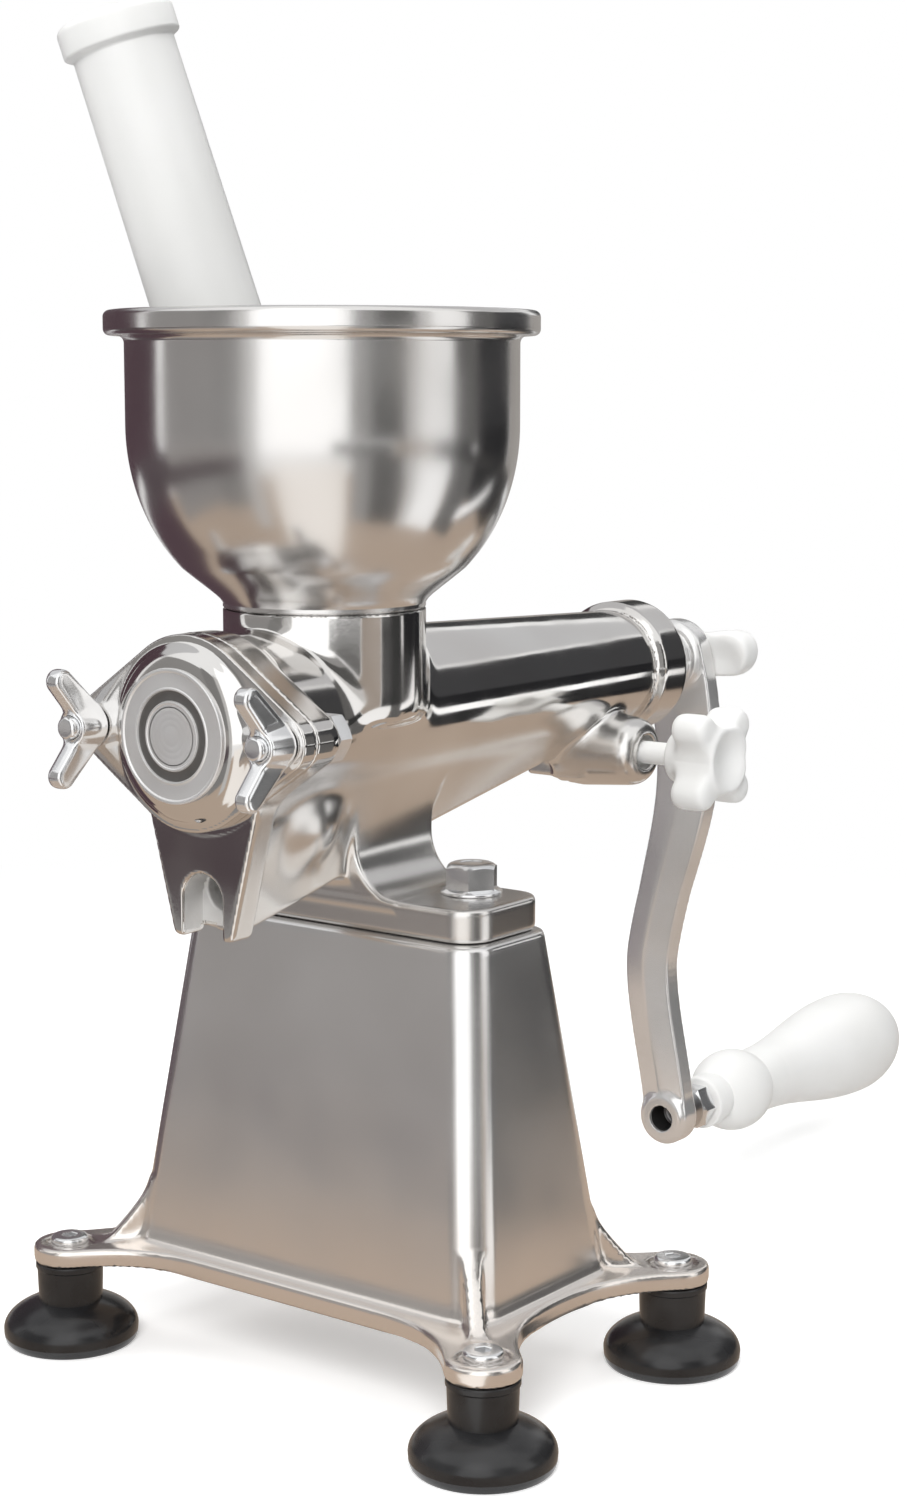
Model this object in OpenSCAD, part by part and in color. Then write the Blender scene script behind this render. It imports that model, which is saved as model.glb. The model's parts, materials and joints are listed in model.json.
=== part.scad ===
// Hand-cranked juicer: a stand on four suction feet carries a cast barrel with a hopper, a tapering
// auger, a front cap on two wing nuts, a crank at the rear and a choke screw at the pulp outlet.
// Origin on the floor midway between the feet, +Z up, crank towards +Y, front cap towards -Y.

/* [Feet] */
// Distance of the feet's centres outside the stand's foot, across the barrel
foot_out_x = 13.75; // [12:0.25:24]
// Distance of the feet's centres outside the stand's foot, along the barrel
foot_out_y = 15; // [12:0.25:24]
// Height of the feet, from the floor to the underside of the ears
foot_h = 30.5; // [25:0.1:40]
// Radius of the suction cup's rim
cup_r = 25; // [20:0.5:30]
// Height of the cup's dome, from the floor to the stem
cup_h = 12.5; // [10:0.5:15]
// Height of the cup's upright edge
cup_edge_h = 2.6; // [1:0.1:4]
// Width of the cup's lip on the floor
cup_lip_w = 3; // [2:0.1:5]
// Height of the hollow under the cup
cup_hollow_h = 4.5; // [2:0.5:6]
// Radius of the foot's stem under the ear
stem_r = 12.4; // [11:0.1:15]
// Radius of the foot's stem where it meets the cup
stem_low_r = 11.2; // [9.5:0.1:14]
// Radius of the foot screw's thread
foot_screw_r = 4; // [3:0.1:5]
// Wall of the threaded insert in the foot
insert_wall = 2.5; // [1.5:0.1:4]
// Length of the threaded insert
insert_h = 14; // [10:0.5:17]

/* [Stand] */
// Height of the stand's top face above the floor
stand_h = 163.5; // [135:0.1:200]
// Width of the stand at its foot, across the barrel
stand_low_w = 164.5; // [136:0.5:200]
// Depth of the stand at its foot, along the barrel
stand_low_d = 86; // [70:0.5:104]
// Width of the stand at its top
stand_top_w = 133.5; // [120:0.5:164]
// Depth of the stand at its top
stand_top_d = 50; // [46:0.5:64]
// Wall of the stand
stand_wall = 5; // [3:0.1:5.5]
// Thickness of the stand's top plate
stand_top_t = 7; // [5:0.5:10]
// Radius of the stand's upright edges
stand_edge_r = 8; // [6:0.5:12]
// Radius of the ears that carry the feet
ear_r = 13.2; // [12.5:0.1:16]
// Thickness of the ears and the foot flange
ear_t = 7; // [5:0.5:10]
// Width of the foot flange outside the stand's walls
foot_flange_w = 4; // [2:0.5:8]
// Height of the ribs above the ears
rib_h = 20; // [8:0.5:30]
// Thickness of the ribs above the ears
rib_t = 4; // [2:0.5:8]

/* [Body] */
// Height of the auger's axis above the stand's top
axis_rise = 76.5; // [72:0.5:95]
// Place of the front joint face along the barrel
joint_y = -87; // [-105:0.5:-80]
// Place of the rear collar's front edge
collar_y = 156; // [150:0.1:190]
// Length of the rear collar
collar_l = 19; // [15:0.5:25]
// Step from the barrel out to the rear collar
collar_step = 3.3; // [1:0.1:8]
// Wall of the barrel at the joint face
barrel_front_wall = 4.2; // [3:0.1:8]
// Wall of the barrel at the collar
barrel_rear_wall = 6.4; // [4:0.1:9]
// Ledge of the stand's top in front of the body's mounting flange
flange_front_ledge = 4.5; // [0:0.5:8]
// Ledge of the stand's top behind the mounting flange
flange_rear_ledge = 0.5; // [0:0.5:6]
// Ledge of the stand's top beside the mounting flange
flange_side_ledge = 3.25; // [0:0.25:8]
// Thickness of the mounting flange
flange_t = 12; // [8:0.5:16]
// Radius of the mounting flange's corners
flange_corner_r = 9; // [5:0.5:14]
// Half the distance between the flange bolts
flange_bolt_x = 41; // [38:0.5:46]
// Distance of the flange bolts from the rear edge of the stand's top
flange_bolt_inset = 16; // [16:0.5:22]
// Radius of the flange bolts
flange_bolt_r = 5; // [4:0.1:6]
// Half the width of the pedestal's column
column_w = 12; // [9:0.5:15]
// Radius of the pedestal's concave sides
column_fillet_r = 18; // [12:0.5:20]
// Depth of the keel's lowest line below the axis at the joint face
keel_front_drop = 70; // [60:0.5:74]
// Depth of the keel's lowest line below the axis at the collar
keel_rear_drop = 24; // [20:0.5:30]
// Radius of the keel's rounded bottom
keel_r = 8; // [6:0.5:10]
// Radius of the belly under the throat
belly_r = 25; // [20:0.5:28]
// Distance of the belly's centre in front of the hopper's axis
belly_front = 20; // [10:0.5:26]
// Depth of the belly's centre below the axis
belly_drop = 26; // [15:0.5:28]

/* [Front flange] */
// Step from the barrel out to the round part of the front flange and cap
oval_step = 1.4; // [1:0.1:6]
// Distance of the cap bolts outside the round part of the front flange
cap_bolt_out = 8.8; // [7:0.1:14]
// Radius of the bolt ears on the front flange and cap
oval_ear_r = 9.5; // [8:0.1:12]
// Thickness of the body's front flange
front_flange_t = 13; // [9:0.5:15]
// Radius of the cap bolts
cap_bolt_r = 4; // [3:0.1:5]

/* [Spout] */
// Half the width of the spout plate at its top
plate_top_w = 25; // [22:0.5:28]
// Half the width of the spout plate at its bottom
plate_low_w = 13; // [12:0.5:16]
// Depth of the spout plate's top below the axis
plate_drop = 24; // [18:0.5:26]
// Thickness of the spout plate
plate_t = 11; // [7:0.5:14]
// Length of the trough that widens from the keel to the spout plate
trough_l = 63; // [40:1:75]
// Radius of the pour arch in the spout plate
arch_r = 9; // [7:0.5:10.5]
// Depth of the pour arch's top below the axis
arch_drop = 48; // [44:0.5:52]
// Radius of the juice channel behind the pour arch
channel_front_r = 7.5; // [6:0.5:8]
// Radius of the juice channel at its rear end
channel_rear_r = 4.5; // [3.5:0.5:5]
// Height of the channel's rear end above the keel's lowest line
channel_floor = 8; // [7:0.5:10]

/* [Hopper] */
// Place of the hopper's axis along the barrel
hopper_y = -22; // [-26:0.5:-16]
// Outer radius of the bowl
bowl_r = 68; // [56:0.1:85]
// Wall of the bowl
bowl_wall = 3.5; // [2.5:0.1:5]
// Depth that the bowl's round bottom sinks into the neck
bowl_sink = 5; // [3:0.5:8]
// Height of the rim's top above the middle of the bowl
bowl_side_h = 39; // [20:0.5:80]
// Step from the bowl out to its rim
rim_step = 7; // [3:0.5:12]
// Height of the rim's band
rim_h = 8.5; // [5:0.5:12]
// Radius of the rim's rounded edges
rim_round = 2; // [0.5:0.1:2.4]
// Radius of the throat through the neck
throat_r = 30.5; // [26:0.1:37]
// Wall of the neck
neck_wall = 5; // [4:0.1:7]
// Height of the neck's top above the axis, where the bowl sits
neck_h = 37; // [35:0.5:46]
// Height of the bowl's straight foot above the neck
bowl_foot_h = 10; // [6:0.5:12]
// Length of the bowl's spigot in the neck
spigot_l = 7; // [4:0.5:9]
// Wall of the bowl's spigot
spigot_wall = 2.3; // [1.8:0.1:2.6]

/* [Auger] */
// Radius of the auger's flights at the front
auger_front_r = 25; // [22:0.1:30]
// Radius of the auger's flights at the rear
auger_rear_r = 15.5; // [15:0.1:18.6]
// Distance of the auger's front end behind the joint face
auger_inset = 8; // [4:0.5:12]
// Wall of the auger's core at the front
core_front_wall = 4.5; // [2:0.1:7]
// Wall of the auger's core at the rear
core_rear_wall = 3; // [1.5:0.1:4]
// Rise of the flight in one turn
auger_pitch = 30; // [24:1:40]
// Thickness of the flight at its edge
flight_t = 4; // [3:0.5:6]
// Width that each side of the flight gains at its root
flight_root = 0.8; // [0:0.1:2]
// Wall of the strainer sleeve
strainer_t = 1.5; // [1:0.1:2]
// Distance of the strainer behind the throat
strainer_front_gap = 5.5; // [4:0.5:12]
// Distance of the strainer's rear end in front of the choke screw
strainer_rear_gap = 18; // [14:0.5:26]
// Radius of the strainer's holes
strainer_hole_r = 1.6; // [1:0.1:2]
// Number of rows of holes along the strainer
strainer_rows = 9; // [5:1:14]
// Angle between the holes of a row
strainer_angle = 8; // [7:0.5:12]

/* [Shaft] */
// Radius of the drive shaft
shaft_r = 8; // [6.6:0.1:9.6]
// Width across the flats of the shaft's squared end
square_w = 11; // [9.5:0.1:12]
// Radius of the threaded end that takes the crank knob
knob_thread_r = 4; // [3:0.1:4.8]
// Length of the rear bush
bush_l = 22; // [14:0.5:26]
// Wall of the bushes
bush_wall = 3.5; // [2.5:0.1:4.5]
// Length of the shaft seal
seal_l = 6; // [4:0.5:7]
// Wall of the shaft seal
seal_wall = 4.5; // [3.5:0.1:6]
// Wall between the barrel's chamber and the shaft seal
chamber_wall = 5; // [3:0.5:8]
// Thickness of the thrust washer behind the auger
thrust_t = 2; // [1.5:0.1:3]
// Width of the thrust washer's ring
thrust_w = 5; // [3:0.1:6]

/* [Cap] */
// Thickness of the cap's flange
cap_flange_t = 6.5; // [5:0.5:9]
// Depth of the whole cap, from the joint face to its front face
cap_depth = 14; // [13:0.5:18]
// Radius of the cap's flat front face
cap_face_r = 22.5; // [20:0.5:25]
// Step from the round part of the flange in to the cap's shoulder
cap_shoulder_step = 1.5; // [1:0.1:4]
// Length of the cap's shoulder
cap_shoulder_l = 4; // [2:0.5:5]
// Taper of the cap's shoulder
cap_shoulder_taper = 4; // [1:0.5:5]
// Depth of the ring groove in the front face
cap_groove_t = 1; // [0.5:0.1:2]
// Outer radius of the ring groove
cap_groove_r = 15.3; // [13:0.1:18]
// Width of the ring groove
cap_groove_w = 3.8; // [2:0.1:6]
// Length of the bush in the cap
cap_bush_l = 11; // [8:0.5:11]
// Thickness of the cap's gasket
gasket_t = 2; // [1:0.1:3]
// Width of the cap's gasket
gasket_w = 2.4; // [1.5:0.1:2.6]
// Length of the wing nut's hub
wing_hub_l = 11; // [8:0.5:14]
// Wall of the wing nut's hub
wing_hub_wall = 3; // [2:0.1:4]
// Distance of the wing tips' centres from the bolt's axis
wing_reach = 16.5; // [13:0.5:20]
// Distance that the wing tips stand in front of the hub
wing_rise = 5; // [2:0.5:9]
// Thickness of the wings
wing_t = 5; // [3:0.5:7]
// Radius of the wing tips
wing_tip_r = 3.5; // [2.5:0.1:4.5]

/* [Crank] */
// Distance from the shaft's axis to the handle's axis
crank_r = 198.5; // [150:0.1:210]
// Distance of the crank arm behind the collar
arm_out = 25; // [15:0.5:40]
// Thickness of the crank arm
arm_t = 11; // [7:0.5:14]
// Width of the crank arm
arm_w = 21; // [16:0.5:24]
// Radius of the arm's upper end
arm_hub_r = 16; // [13:0.5:20]
// Wall of the arm's lower end round the handle pin
arm_end_wall = 6; // [4:0.1:9]
// Sideways swing of the arm below the hub
arm_swing = 22; // [10:1:28]
// Sideways swing back of the arm above the handle
arm_return = 9.5; // [4:0.5:14]
// Wall of the boss between the collar and the arm
arm_boss_wall = 4; // [3:0.1:6]
// Distance of the crank knob's wing tips from the shaft's axis
crank_knob_reach = 23; // [18:0.5:28]
// Height of the crank knob's wing tips above the shaft's axis
crank_knob_rise = 4; // [0:0.5:6]
// Radius of the crank knob's wing tips
crank_knob_tip_r = 8; // [6:0.5:10]
// Radius of the crank knob's hub
crank_knob_hub_r = 10; // [8:0.5:12]
// Length of the crank knob
crank_knob_l = 15; // [12:0.5:20]

/* [Handle] */
// Radius of the handle pin
pin_r = 5.5; // [4:0.1:7]
// Step from the handle pin out to its collar
pin_collar_step = 3.5; // [2:0.1:6]
// Length of the handle pin's collar
pin_collar_l = 9; // [6:0.5:14]
// Thickness of the handle nut
handle_nut_t = 10; // [6:0.5:12]
// Wall of the handle nut at its flats
handle_nut_wall = 3; // [2:0.1:5]
// Length of the grip
grip_l = 166; // [110:1:200]
// Length of the pin's bore in the grip
grip_bore_l = 119; // [80:1:130]
// Radius of the grip's end disc
grip_disc_r = 11.5; // [10:0.1:14]
// Length of the grip's end disc
grip_disc_l = 8; // [5:0.5:11]
// Radius of the grip's bulb
grip_bulb_r = 18; // [16:0.1:20]
// Radius of the grip's waist
grip_waist_r = 14.6; // [12.5:0.1:16]
// Largest radius of the grip
grip_r = 23.6; // [19:0.1:28]
// Length of the grip's rounded end
grip_end_l = 36.5; // [24:0.5:44]

/* [Choke] */
// Distance of the choke screw in front of the chamber's rear wall
choke_inset = 12; // [10:0.5:16]
// Depth of the choke screw's axis below the auger's axis
choke_drop = 28.5; // [26:0.5:30]
// Radius of the choke screw's rod
choke_rod_r = 4.4; // [3.5:0.1:5.2]
// Place of the rod's tip, across the barrel
choke_tip_x = -2; // [-2:0.5:4]
// End face of the choke screw's boss
choke_boss_x = 36; // [30:0.5:43]
// Radius of the choke screw's boss
choke_boss_r = 14; // [12:0.5:15]
// Depth of the wider mouth of the boss's bore
choke_mouth_l = 5; // [2:0.5:8]
// Width that the mouth of the bore gains
choke_mouth_w = 2.2; // [1:0.1:4]
// Distance from the boss to the choke knob
choke_stand_off = 13.5; // [8:0.5:24]
// Length of the choke knob
choke_knob_l = 24; // [19:0.5:30]
// Length of the choke knob's neck
choke_neck_l = 8.6; // [4:0.1:12]
// Radius of the choke knob's neck
choke_neck_r = 10; // [8:0.5:12]
// Radius of the choke knob's middle
choke_hub_r = 12; // [10:0.5:14]
// Depth of the rod's socket in the knob
choke_socket_l = 15; // [8:0.5:16]
// Distance of the knob's lobes from its axis
choke_lobe_reach = 20; // [15:0.5:24]
// Radius of the knob's lobes
choke_lobe_r = 8; // [5:0.5:9]
// Radius of the dish in the knob's face
choke_dish_r = 24; // [18:0.5:30]
// Depth of the dish in the knob's face
choke_dish_t = 2; // [0.5:0.1:3]
// Half the width of the pulp chute across the barrel
chute_w = 13; // [11:0.5:16]
// Half the depth of the pulp chute along the barrel
chute_d = 12; // [10:0.5:13]
// Depth of the pulp chute's lower edge below the axis
chute_drop = 40; // [37:0.5:44]
// Radius of the pulp outlet
outlet_r = 8; // [7:0.1:9.6]

/* [Plunger] */
// Radius of the plunger at its foot
plunger_r = 19.2; // [16:0.1:20]
// Radius of the plunger below its lip
plunger_top_r = 17.7; // [15:0.1:19]
// Length of the plunger
plunger_l = 215; // [180:1:260]
// Radius of the plunger's lip
plunger_lip_r = 20.4; // [19.5:0.1:24]
// Height of the plunger's lip
plunger_lip_h = 12; // [8:0.5:20]
// Radius of the lip's rounded edge
plunger_round = 3; // [1:0.5:4]
// Lean of the plunger from upright
plunger_lean = 17.2; // [14:0.1:18]
// Direction of the plunger's lean, seen from above
plunger_turn = 217; // [200:1:235]
// Height of the plunger's foot above the auger's flights
plunger_foot_gap = 10; // [8:0.5:16]

/* [Clearances] */
// Gap at running and sliding fits, on the radius
run_gap = 0.05; // [0.02:0.01:0.1]
// Gap at seats of fixed pieces, on the radius
seat_gap = 0.05; // [0.02:0.01:0.2]
// Gap between faces of pieces that move past each other
face_gap = 0.4; // [0.3:0.1:1]
// Gap between the auger's flights and the strainer
flight_gap = 0.5; // [0.4:0.1:1]
// Gap of a bolt in its clearance hole, on the radius
bolt_gap = 0.3; // [0.2:0.05:0.6]
// Gap between the plunger and the edge of the throat that it leans on
plunger_gap = 0.35; // [0.3:0.05:1]

/* [Hidden] */
$fn = 64;
// Fineness of the rounded shells
hull_fn = 32;
// Small overlap that keeps joined shapes and cuts clean
eps = 0.01;
// Distance that a cut runs past the surface it opens
over = 1;

// Feet and their screws
foot_x = stand_low_w / 2 + foot_out_x;
foot_y = stand_low_d / 2 + foot_out_y;
ear_top_z = foot_h + ear_t;
ear_recess_r = foot_screw_r * 2.2;
ear_recess_t = 1.6;
screw_seat_z = ear_top_z - ear_recess_t;
screw_head_r = foot_screw_r * 1.75;
screw_head_h = foot_screw_r;
screw_socket_w = foot_screw_r * 1.25;
screw_socket_t = foot_screw_r / 2;
screw_end_gap = 2;
insert_r = foot_screw_r + insert_wall;
insert_floor_t = 1;
insert_z = foot_h - insert_h;

// Places along the barrel and across it
axis_h = stand_h + axis_rise;
collar_end_y = collar_y + collar_l;
bush_y = collar_end_y - bush_l;
seal_y = bush_y - seal_l;
seal_slack = 0.2;
chamber_end_y = seal_y - chamber_wall;
auger_front_y = joint_y + auger_inset;
auger_rear_y = chamber_end_y - thrust_t - face_gap;
choke_y = chamber_end_y - choke_inset;
choke_z = axis_h - choke_drop;
strainer_front_y = hopper_y + throat_r + strainer_front_gap;
strainer_rear_y = choke_y - strainer_rear_gap;
channel_inset = 4;
channel_end_y = strainer_rear_y - channel_inset;

// Radius of a cone between two places along the barrel
function taper(y, y0, r0, y1, r1) = r0 + (r1 - r0) * (y - y0) / (y1 - y0);
function flight_r(y) = taper(y, auger_front_y, auger_front_r, auger_rear_y, auger_rear_r);
function core_r(y) = taper(y, auger_front_y, core_front_r, auger_rear_y, core_rear_r);
function sleeve_r(y) = flight_r(y) + flight_gap;
function bore_r(y) = sleeve_r(y) + strainer_t + seat_gap;
function barrel_r(y) = taper(y, joint_y, barrel_front_r, collar_y, barrel_rear_r);
function keel_z(y) = taper(y, joint_y, keel_front_z, collar_y, axis_h - keel_rear_drop);
function channel_z(y) =
    taper(y, joint_y, arch_top_z - arch_r, channel_end_y, keel_z(channel_end_y) + channel_floor);

// Body
barrel_front_r = bore_r(joint_y) + barrel_front_wall;
barrel_rear_r = bore_r(collar_y) + barrel_rear_wall;
collar_r = barrel_rear_r + collar_step;
oval_r = barrel_front_r + oval_step;
cap_bolt_x = oval_r + cap_bolt_out;
keel_front_z = axis_h - keel_front_drop;
keel_inset = 0.5;
keel_slice = 2;
keel_end_gap = 8;
plate_top_z = axis_h - plate_drop;
arch_top_z = axis_h - arch_drop;
trough_rear_y = joint_y + trough_l;
trough_rear_h = 20;
slot_drop = 12;
slot_top_z = axis_h - slot_drop;
chute_top_drop = 18;
chute_low_z = axis_h - chute_drop;
chute_top_z = axis_h - chute_top_drop;
outlet_low_z = min(chute_low_z, choke_z - choke_boss_r) - over;
outlet_top_z = axis_h - shaft_r - over;
flange_front_y = -stand_top_d / 2 + flange_front_ledge;
flange_rear_y = stand_top_d / 2 - flange_rear_ledge;
flange_half_w = stand_top_w / 2 - flange_side_ledge;
flange_top_z = stand_h + flange_t;
flange_bolt_y = stand_top_d / 2 - flange_bolt_inset;

// Hopper
neck_r = throat_r + neck_wall;
neck_top_z = axis_h + neck_h;
bowl_centre_z = neck_top_z + bowl_r - bowl_sink;
bowl_inner_r = bowl_r - bowl_wall;
rim_top_z = bowl_centre_z + bowl_side_h;
rim_r = bowl_r + rim_step;
throat_edge_z = bowl_centre_z - sqrt(bowl_inner_r * bowl_inner_r - throat_r * throat_r);

// Fastenings
hex_w = flange_bolt_r * 3.4;
hex_h = 9;
hex_washer_t = 2;
hex_washer_r = flange_bolt_r * 2.2;
flange_nut_t = 8;
flange_washer_t = 2;
flange_washer_r = flange_bolt_r * 2.1;
flange_washer_z = stand_h - stand_top_t - flange_washer_t;
flange_nut_z = flange_washer_z - flange_nut_t;
bolt_tip_l = 3;
cap_hex_w = cap_bolt_r * 3.25;
cap_hex_h = 7;

// Shaft, auger and cap
core_front_r = shaft_r + core_front_wall;
core_rear_r = shaft_r + core_rear_wall;
bush_r = shaft_r + bush_wall;
cap_face_y = joint_y - cap_depth;
cap_ear_y = joint_y - cap_flange_t;
cap_shoulder_r = oval_r - cap_shoulder_step;
cap_shoulder_y = cap_ear_y - cap_shoulder_l;
gasket_r = (bore_r(joint_y) + oval_r + gasket_w) / 2;
shaft_end_gap = 2;
shaft_front_y = joint_y - cap_bush_l + shaft_end_gap;
wing_y = cap_ear_y - face_gap;
wing_hub_r = cap_bolt_r + wing_hub_wall;
wing_hub_taper = 1;
wing_root = 3;
cap_bolt_end_y = wing_y - wing_hub_l - bolt_tip_l;

// Crank and handle
arm_y = collar_end_y + arm_out;
arm_rear_y = arm_y + arm_t;
arm_boss_r = shaft_r + arm_boss_wall;
arm_end_r = pin_r + arm_end_wall;
shoulder_gap = 1;
shaft_round_end_y = arm_y - shoulder_gap;
square_end_y = arm_rear_y - shoulder_gap;
knob_y = arm_rear_y + face_gap;
crank_knob_face_t = 2;
crank_knob_edge = 2;
knob_thread_end_y = knob_y + crank_knob_l - crank_knob_face_t - shoulder_gap;
handle_z = axis_h - crank_r;
pin_collar_r = pin_r + pin_collar_step;
pin_inset = 3;
pin_end_gap = 2;
handle_nut_w = 2 * (pin_r + handle_nut_wall);
nut_y = arm_rear_y + pin_collar_l;
grip_y = nut_y + handle_nut_t + face_gap;
bulb_stretch = 1.1;
grip_bulb_y = grip_y + grip_disc_l + grip_bulb_r * bulb_stretch;
grip_waist_y = grip_bulb_y + grip_bulb_r * bulb_stretch;
grip_widest_y = grip_y + grip_l - grip_end_l;

// Choke screw and plunger
choke_knob_x = choke_boss_x + choke_stand_off;
choke_end_gap = 0.6;
choke_edge = 2;
plunger_foot_z = axis_h + flight_r(hopper_y) + plunger_foot_gap;
plunger_foot = throat_r - (throat_edge_z - plunger_foot_z) * tan(plunger_lean)
    - (plunger_r + plunger_gap) / cos(plunger_lean);

// Points of an elliptical arc about c, from angle a0 to angle a1
function arc(c, rx, ry, a0, a1, n) =
    [for (i = [0:n]) let (a = a0 + (a1 - a0) * i / n) c + [rx * cos(a), ry * sin(a)]];
// Points of a cubic curve through its four control points
function curve(p, n) =
    [for (i = [0:n]) let (t = i / n, s = 1 - t)
        s * s * s * p[0] + 3 * s * s * t * p[1] + 3 * s * t * t * p[2] + t * t * t * p[3]];
// Points beside a path, at distance d to its left
function beside(path, d) =
    [for (i = [0:len(path) - 1])
        let (a = path[max(i - 1, 0)], b = path[min(i + 1, len(path) - 1)], v = (b - a) / norm(b - a))
        path[i] + d * [-v[1], v[0]]];
function backwards(list) = [for (i = [len(list) - 1:-1:0]) list[i]];

silver = [0.78, 0.78, 0.79];
zinc = [0.84, 0.85, 0.87];
steel = [0.62, 0.63, 0.66];
bronze = [0.72, 0.53, 0.3];
nylon = [0.95, 0.95, 0.94];
rubber = [0.09, 0.09, 0.1];

// Shared shapes

// A cylinder or cone along the barrel, from y0 to y1
module rod_y(y0, y1, r0, r1) {
    translate([0, y0, 0]) rotate([-90, 0, 0]) cylinder(h = y1 - y0, r1 = r0, r2 = r1);
}

// A flat outline in X and Z, carried along the barrel from y0 to y1
module along_y(y0, y1) {
    translate([0, y1, 0]) rotate([90, 0, 0]) linear_extrude(y1 - y0) children();
}

// A ring on the auger's axis, from y0 to y1
module ring_y(y0, y1, outer, inner) {
    translate([0, 0, axis_h]) difference() {
        rod_y(y0, y1, outer, outer);
        rod_y(y0 - over, y1 + over, inner, inner);
    }
}

// A hexagon bar along Z, by its width across the flats
module hex(w, h) {
    cylinder(h = h, r = w / 2 / cos(30), $fn = 6);
}

// Puts its children at each of the four feet
module at_feet() {
    for (sx = [-1, 1], sy = [-1, 1]) translate([sx * foot_x, sy * foot_y, 0]) children();
}

// Puts its children at both flange bolts
module at_flange_bolts() {
    for (sx = [-1, 1]) translate([sx * flange_bolt_x, flange_bolt_y, 0]) children();
}

// Puts its children at both cap bolts
module at_cap_bolts() {
    for (sx = [-1, 1]) translate([sx * cap_bolt_x, 0, axis_h]) children();
}

// A rounded rectangle between two corners
module round_rect(low, high, r) {
    translate([low[0] + r, low[1]]) square([high[0] - low[0] - 2 * r, high[1] - low[1]]);
    translate([low[0], low[1] + r]) square([high[0] - low[0], high[1] - low[1] - 2 * r]);
    for (x = [low[0] + r, high[0] - r], y = [low[1] + r, high[1] - r]) translate([x, y]) circle(r);
}

// The two-bolt oval of the front flange and the cap, in X and Z
module oval(round_r, ear) {
    lean = acos((round_r - ear) / cap_bolt_x);
    translate([0, axis_h]) {
        circle(round_r);
        for (s = [-1, 1]) {
            translate([s * cap_bolt_x, 0]) circle(ear);
            polygon([[s * round_r * cos(lean), round_r * sin(lean)],
                [s * (cap_bolt_x + ear * cos(lean)), ear * sin(lean)],
                [s * (cap_bolt_x + ear * cos(lean)), -ear * sin(lean)],
                [s * round_r * cos(lean), -round_r * sin(lean)]]);
        }
    }
}

// Stand and feet

// The stand's leaning block with rounded upright edges, shrunk by inset
module stand_block(z0, z1, inset) {
    function half(z, low, top) = taper(z, foot_h, low, stand_h, top) / 2 - inset - stand_edge_r;
    hull() for (z = [z0, z1 - eps], sx = [-1, 1], sy = [-1, 1])
        translate([sx * half(z, stand_low_w, stand_top_w), sy * half(z, stand_low_d, stand_top_d), z])
            cylinder(h = eps, r = stand_edge_r, $fn = hull_fn);
}

// One ear with its arm to the stand's corner, and the small rib above it
module stand_ear(sx, sy) {
    corner = [sx * (stand_low_w / 2 - stand_edge_r), sy * (stand_low_d / 2 - stand_edge_r)];
    ear = [sx * foot_x, sy * foot_y];
    rib_l = norm(ear - corner) - ear_recess_r;
    hull() {
        translate([ear[0], ear[1], foot_h]) cylinder(h = ear_t, r = ear_r, $fn = hull_fn);
        translate([corner[0], corner[1], foot_h])
            cylinder(h = ear_t, r = stand_edge_r + foot_flange_w, $fn = hull_fn);
    }
    translate([corner[0], corner[1], ear_top_z - eps])
        rotate([90, 0, atan2(ear[1] - corner[1], ear[0] - corner[0])])
            linear_extrude(rib_t, center = true)
                polygon([[0, 0], [rib_l, 0], [stand_edge_r / 2, rib_h], [0, rib_h]]);
}

module base_stand() {
    corner = [stand_low_w / 2 + foot_flange_w, stand_low_d / 2 + foot_flange_w];
    color(silver) difference() {
        union() {
            stand_block(foot_h, stand_h, 0);
            translate([0, 0, foot_h]) linear_extrude(ear_t)
                round_rect(-corner, corner, stand_edge_r + foot_flange_w);
            for (sx = [-1, 1], sy = [-1, 1]) stand_ear(sx, sy);
        }
        stand_block(foot_h - eps, stand_h - stand_top_t, stand_wall);
        at_feet() {
            translate([0, 0, foot_h - over]) cylinder(h = ear_t + 2 * over, r = foot_screw_r + bolt_gap);
            translate([0, 0, screw_seat_z]) cylinder(h = screw_head_h + over, r = ear_recess_r);
        }
        at_flange_bolts() translate([0, 0, stand_h - stand_top_t - over])
            cylinder(h = stand_top_t + 2 * over, r = flange_bolt_r + bolt_gap);
    }
}

// A rubber foot: a tapering stem on a hollow suction cup
module suction_foot(sx, sy) {
    dome_gap = 1.6;
    dome_h = cup_h - cup_edge_h - dome_gap;
    color(rubber) translate([sx * foot_x, sy * foot_y, 0]) difference() {
        rotate_extrude() polygon(concat(
            [[0, foot_h], [stem_r, foot_h], [stem_low_r, cup_h]],
            arc([stem_low_r, cup_edge_h], cup_r - stem_low_r, dome_h, 80, 0, 6),
            [[cup_r, 0]],
            arc([0, 0], cup_r - cup_lip_w, cup_hollow_h, 0, 90, 6)));
        translate([0, 0, insert_z]) cylinder(h = insert_h + over, r = insert_r + seat_gap);
    }
}

module suction_foot_front_left() { suction_foot(-1, -1); }
module suction_foot_front_right() { suction_foot(1, -1); }
module suction_foot_rear_left() { suction_foot(-1, 1); }
module suction_foot_rear_right() { suction_foot(1, 1); }

module foot_screws() {
    shank_z = insert_z + screw_end_gap;
    color(zinc) at_feet() difference() {
        union() {
            translate([0, 0, shank_z]) cylinder(h = screw_seat_z - shank_z + eps, r = foot_screw_r);
            translate([0, 0, screw_seat_z]) cylinder(h = screw_head_h, r = screw_head_r);
        }
        translate([0, 0, screw_seat_z + screw_head_h - screw_socket_t])
            hex(screw_socket_w, screw_socket_t + over);
    }
}

module foot_inserts() {
    color(steel) at_feet() translate([0, 0, insert_z]) difference() {
        cylinder(h = insert_h, r = insert_r);
        translate([0, 0, insert_floor_t]) cylinder(h = insert_h, r = foot_screw_r + seat_gap);
    }
}

// Body casting

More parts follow.
